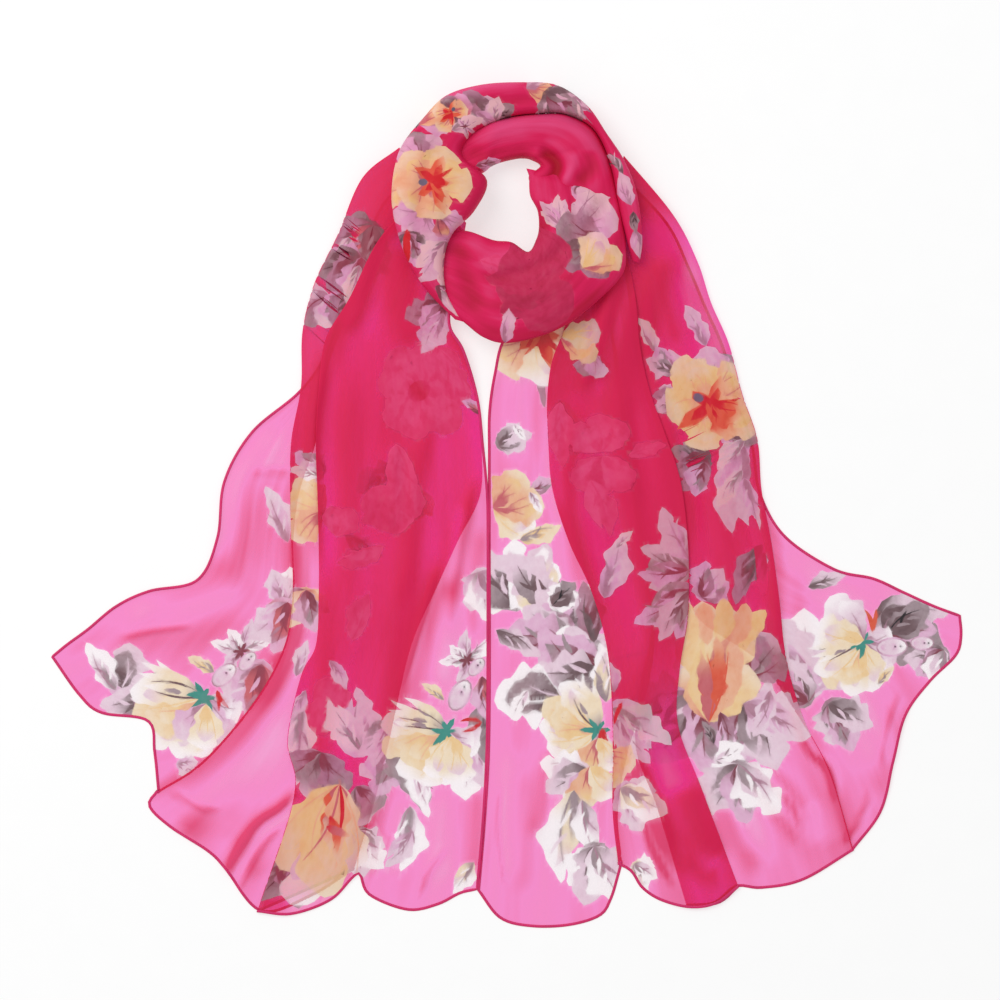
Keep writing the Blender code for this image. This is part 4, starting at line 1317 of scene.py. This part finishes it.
# rise, half width, painted shade (below 0 for a painted highlight), and places that it runs through
OUTER_CREASES = (
    (-2.5, 5.0, 0.5, ((424, 262), (420, 240), (418, 214), (424, 180), (436, 150), (446, 130))),
    (-2.0, 4.0, 0.35, ((446, 276), (444, 240), (448, 206), (456, 178))),
    (-2.0, 4.5, 0.4, ((440, 130), (462, 112), (510, 104), (552, 106), (580, 122))),
    (-1.5, 4.0, 0.3, ((468, 134), (494, 116), (520, 110))),
    (0.8, 5.0, -0.6, ((430, 118), (452, 98), (490, 88), (530, 86))),
    (0.8, 4.0, -0.5, ((406, 262), (396, 220), (396, 180), (408, 148))),
    (0.8, 4.0, -0.4, ((604, 120), (622, 160), (632, 200), (638, 240))),
    (-1.5, 7.0, 0.5, ((412, 286), (428, 300), (444, 312))),
)
OUTER_PRINT = (
    ("leaf", 424, 112, 236, 36, "umber"),
    ("petals", 420, 168, 96, 36, "blush mauve blush"),
    ("petals", 424, 188, 168, 42, "peach peach peach"),
    ("petals", 428, 212, 236, 36, "blush blush blush"),
    ("petals", 440, 216, 306, 28, "salmon blush"),
    ("leaves", 408, 236, 274, 38, "umber mauve"),
    ("strokes", 408, 232, 270, 38, "red"),
    ("saws", 446, 244, 254, 56, "blush pearl"),
    ("leaves", 436, 288, 310, 38, "mauve pearl"),
    ("leaf", 442, 292, 312, 40, "pearl"),
    ("hibiscus", 431, 186, 178, 45, "peach peach gold gold peach"),
    ("petals", 470, 130, 84, 38, "blush umber salmon"),
    ("petals", 446, 128, 40, 40, "umber salmon"),
    ("leaves", 494, 124, 60, 28, "umber pearl"),
    ("petals", 420, 128, 20, 36, "blush peach"),
    ("hibiscus", 452, 116, 60, 22, "umber peach peach"),
    ("leaf", 476, 116, 322, 32, "blush"),
    ("leaf", 452, 134, 22, 34, "pearl"),
    ("blossom", 465, 130, 20, 13, "pearl blush"),
    ("petals", 526, 92, 4, 34, "peach pearl"),
    ("leaves", 546, 98, 330, 52, "umber mauve smoke"),
    ("leaves", 572, 100, 322, 44, "pearl blush"),
    ("leaf", 622, 178, 122, 34, "smoke"),
    ("leaf", 630, 208, 110, 36, "blush"),
    ("leaf", 634, 232, 280, 30, "blush"),
    ("leaf", 632, 214, 276, 22, "umber"),
)
BAND_ROWS = 120
BAND_COLUMNS = 61
PRINT_FROM = 0.5  # share of the height above which the print is laid
BAND_PROFILE = (  # share of the width, share of the height
    (0.10, 0.00),
    (0.03, 0.10),
    (0.00, 0.30),
    (0.00, 0.52),
    (0.02, 0.70),
    (0.07, 0.84),
    (0.15, 0.93),
    (0.27, 0.98),
    (0.40, 1.00),
)
LOOP_BODY = tuple(linear((220, 26, 88)))
# the colour of the painted shade along the loop's creases, then that of its painted highlights
LOOP_PAINTED_SHADE = tuple(linear((172, 10, 40)))
LOOP_PAINTED_HIGHLIGHT = tuple(linear((232, 84, 140)))
LOOP_GATHERS = 130.0


def gathered_chiffon(name, body, shaded, pale):
    """The same cloth gathered into so many layers that it is solid. They show through the ink. Shade and
    highlights are painted along its creases.
    """
    material, start = new_material(name)
    threads, ink, strength, _, _, bump = woven(start, body, shaded, pale, LOOP_GATHERS)
    cloth_shader(start, strength.mix(threads, ink), bump).covers_surface()
    return material


def band_cloth(stations, creases):
    """A bunched stretch of the loop: its cloth, and the first and last column that the print is laid on."""
    at = np.linspace(0, len(stations) - 1, BAND_ROWS)
    outer = smooth_curve([row[0] for row in stations], at)
    inner = smooth_curve([row[1] for row in stations], at)
    under, crown = smooth_curve([row[2:] for row in stations], at).T
    profile = np.array([*BAND_PROFILE, (0.5, 1.0), *[(1 - x, z) for x, z in BAND_PROFILE[::-1]]])
    fine = np.linspace(0, len(profile) - 1, BAND_COLUMNS)
    share, rise = smooth_curve(profile, fine).T
    plan = outer[:, None] + share[:, None] * (inner - outer)[:, None]
    height = np.maximum(under, LIFT)[:, None] + (crown - under)[:, None] * np.clip(rise, 0, 1)
    # painted shade and painted highlights along the loop's creases
    fold, shade = creased(plan, creases)
    grid = np.concatenate([plan, (height + fold * np.clip(rise, 0, 1) ** 3)[..., None]], 2)
    width = np.linalg.norm(np.diff(grid, axis=1), axis=2).mean(0)
    length = np.linalg.norm(np.diff(grid[:, BAND_COLUMNS // 2], axis=0), axis=1)
    across = np.concatenate([[0], np.cumsum(width)])
    along = np.concatenate([[0], np.cumsum(length)])
    top = np.flatnonzero(rise > PRINT_FROM)
    return Cloth(grid, across, along, shade), (int(top[0]), int(top[-1]))


def loop_piece(name, node, stations, creases, rows, seed):
    """A stretch of the loop, from its form to its place in the model."""
    cloth, top = band_cloth(stations, creases)
    drawing = Drawing(seed)
    drawing.draw(rows)
    piece = printed_mesh(name, cloth, [(top, drawing)], BARE)
    piece.data.materials.append(loop_material)
    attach(piece, "root")
    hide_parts(node)
    cloth.across[-1] * MM
    cloth.along[-1] * MM


loop_material = gathered_chiffon("gathered chiffon", LOOP_BODY, LOOP_PAINTED_SHADE, LOOP_PAINTED_HIGHLIGHT)
loop_piece("outer_wrap_cloth", "loop_outer_wrap", OUTER_WRAP, OUTER_CREASES, OUTER_PRINT, 31)

# ------------------------------------------------------------ loop's front wrap
# The stretch that crosses the front of the loop and turns up its right side, laid over the back wrap.

FRONT_WRAP = (
    ((78, 230), (15, 245), 12, 21),
    ((81.2, 222.5), (17, 238.7), 13, 27),
    ((84.6, 206), (17, 232), 15, 28),
    ((87, 188), (18, 224), 15, 30),
    ((85, 169), (23, 214), 15, 31),
    ((68, 150), (24, 202), 15, 31),
    ((45, 132), (22, 193), 15, 30),
    ((22, 122), (16, 184), 15, 29),
    ((-1, 118), (4, 191), 15, 28),
    ((-16, 122), (-9, 192.5), 15, 27),
    ((-28, 131), (-27, 199), 14, 25),
    ((-40, 142), (-40, 199), 12, 23),
    ((-50, 158), (-50, 190), 9, 20),
)
# rise, half width, painted shade (below 0 for a painted highlight), and places that it runs through
FRONT_CREASES = (
    (-3.0, 5.0, 0.6, ((620, 186), (600, 210), (580, 236), (550, 262), (516, 276), (476, 280))),
    (-2.5, 5.0, 0.6, ((540, 200), (546, 222), (536, 238), (520, 250))),
    (-2.0, 7.0, 0.5, ((454, 236), (462, 262), (470, 290), (484, 316))),
    (1.5, 13.0, 0.25, ((486, 300), (520, 296), (560, 288), (596, 268))),
    (1.0, 8.0, -0.3, ((478, 262), (506, 262), (540, 256))),
    (-1.5, 3.5, 0.4, ((470, 268), (500, 282), (536, 284), (576, 262))),
    (-1.5, 3.0, 0.4, ((560, 170), (572, 200), (570, 230), (552, 252))),
    (-1.5, 3.0, 0.4, ((590, 180), (596, 206), (588, 240), (566, 266))),
    (-2.0, 5.0, 0.5, ((470, 318), (500, 336), (540, 332), (580, 308), (610, 280))),
    (-2.0, 4.0, 0.5, ((622, 200), (624, 230), (614, 262))),
)
FRONT_PRINT = (
    ("leaves", 574, 196, 22, 42, "blush mauve"),
    ("saws", 560, 228, 112, 36, "pearl blush"),
    ("petals", 572, 226, 26, 54, "blush pearl"),
    ("petals", 602, 240, 208, 48, "mauve umber wine"),
    ("petals", 582, 270, 44, 42, "peach cream"),
    ("leaf", 480, 262, 346, 60, "faint"),
    ("petals", 496, 292, 6, 76, "haze haze"),
    ("leaf", 500, 314, 20, 76, "dusk"),
    ("leaf", 486, 280, 350, 66, "haze"),
    ("leaf", 505, 344, 84, 34, "blush"),
)
loop_piece("front_wrap_cloth", "loop_front_wrap", FRONT_WRAP, FRONT_CREASES, FRONT_PRINT, 41)

# ------------------------------------------------------------- loop's back wrap
# The stretch that shows behind the opening, under the outer wrap's inner edge.

BACK_WRAP = (
    ((-39, 262), (-35, 236), 4, 20),
    ((-26, 272), (-24, 240), 2, 22),
    ((-12, 279), (-16, 243), 0, 23),
    ((4, 283), (-11, 247), 0, 22),
    ((22, 285), (-4, 250), 0, 22),
    ((42, 285), (4, 252), 0, 22),
    ((60, 277), (11, 253), 0, 22),
    ((70, 264), (18, 252), 0, 23),
    ((77, 244), (25, 247), 5, 25),
    ((81, 223.5), (17, 239.7), 13, 26),
    ((83, 216), (18, 233), 14, 20),
)
# rise, half width, painted shade (below 0 for a painted highlight), and places that it runs through
BACK_CREASES = (
    (-6.0, 5.0, 1.0, ((536, 152), (550, 158), (557, 168), (552, 182), (538, 194))),
    (-2.0, 7.0, 0.5, ((462, 152), (484, 158), (510, 156), (536, 152))),
    (2.0, 8.0, -0.6, ((474, 140), (504, 126), (545, 121), (580, 134), (598, 160), (602, 180))),
    (2.0, 5.0, -0.4, ((572, 152), (573, 168), (560, 186))),
    (-2.0, 5.0, 0.5, ((590, 150), (592, 170), (576, 188))),
)
BACK_PRINT = (("leaf", 476, 168, 14, 26, "mauve"),)
loop_piece("back_wrap_cloth", "loop_back_wrap", BACK_WRAP, BACK_CREASES, BACK_PRINT, 51)

# --------------------------------------------------------- floor, light, camera
# A white light table, glowing softly from below, a wide soft lamp above it, and the camera looking
# straight down.

FLOOR_SIZE = 14.0
FLOOR_GREYS = (0.44, 0.44, 0.44, 1.0), (0.46, 0.46, 0.46, 1.0)
FLOOR_GLOW = 0.59
WHITE = (1.0, 1.0, 1.0, 1.0)
ROOM_LIGHT = 0.60
LAMP_PLACE = (-1.1, 1.1, 2.0)
LAMP_SIZE, LAMP_POWER = 1.5, 26.0
CAMERA_PLACE = (-0.0044, 0.0037, 3.05)
CAMERA_LENS, CAMERA_SENSOR = 150.0, 36.0

edge = FLOOR_SIZE / 2
floor_mesh = bpy.data.meshes.new("floor")
corners = [(-edge, -edge, 0), (edge, -edge, 0), (edge, edge, 0), (-edge, edge, 0)]
floor_mesh.from_pydata(corners, [], [(0, 1, 2, 3)])
floor = in_scene("floor", floor_mesh)
floor_material, start = new_material("light table")
grain = start.noise(start.node("ShaderNodeTexCoord", {}, 3), 40.0, 3.0)
start.shader(
    Base_Color=grain.mix(*FLOOR_GREYS),
    Roughness=0.9,
    Specular_IOR_Level=0.1,
    Emission_Color=WHITE,
    Emission_Strength=FLOOR_GLOW,
).covers_surface()
floor_mesh.materials.append(floor_material)

world = bpy.data.worlds.new("studio")
world.use_nodes = True
sky = world.node_tree.nodes["Background"].inputs
sky["Color"].default_value = WHITE
sky["Strength"].default_value = ROOM_LIGHT
bpy.context.scene.world = world
bpy.context.scene.view_settings.view_transform = "Standard"

lamp = bpy.data.lights.new("lamp", "AREA")
lamp.energy, lamp.size = LAMP_POWER, LAMP_SIZE
x, y, z = LAMP_PLACE
lamp_holder = in_scene("lamp", lamp)
lamp_holder.location = LAMP_PLACE
lamp_holder.rotation_euler = (float(np.arctan2(np.hypot(x, y), z)), 0.0, float(np.arctan2(y, x) + np.pi / 2))

camera = bpy.data.cameras.new("camera")
camera.lens, camera.sensor_width = CAMERA_LENS, CAMERA_SENSOR
camera_holder = in_scene("camera", camera)
camera_holder.location = CAMERA_PLACE
bpy.context.scene.camera = camera_holder
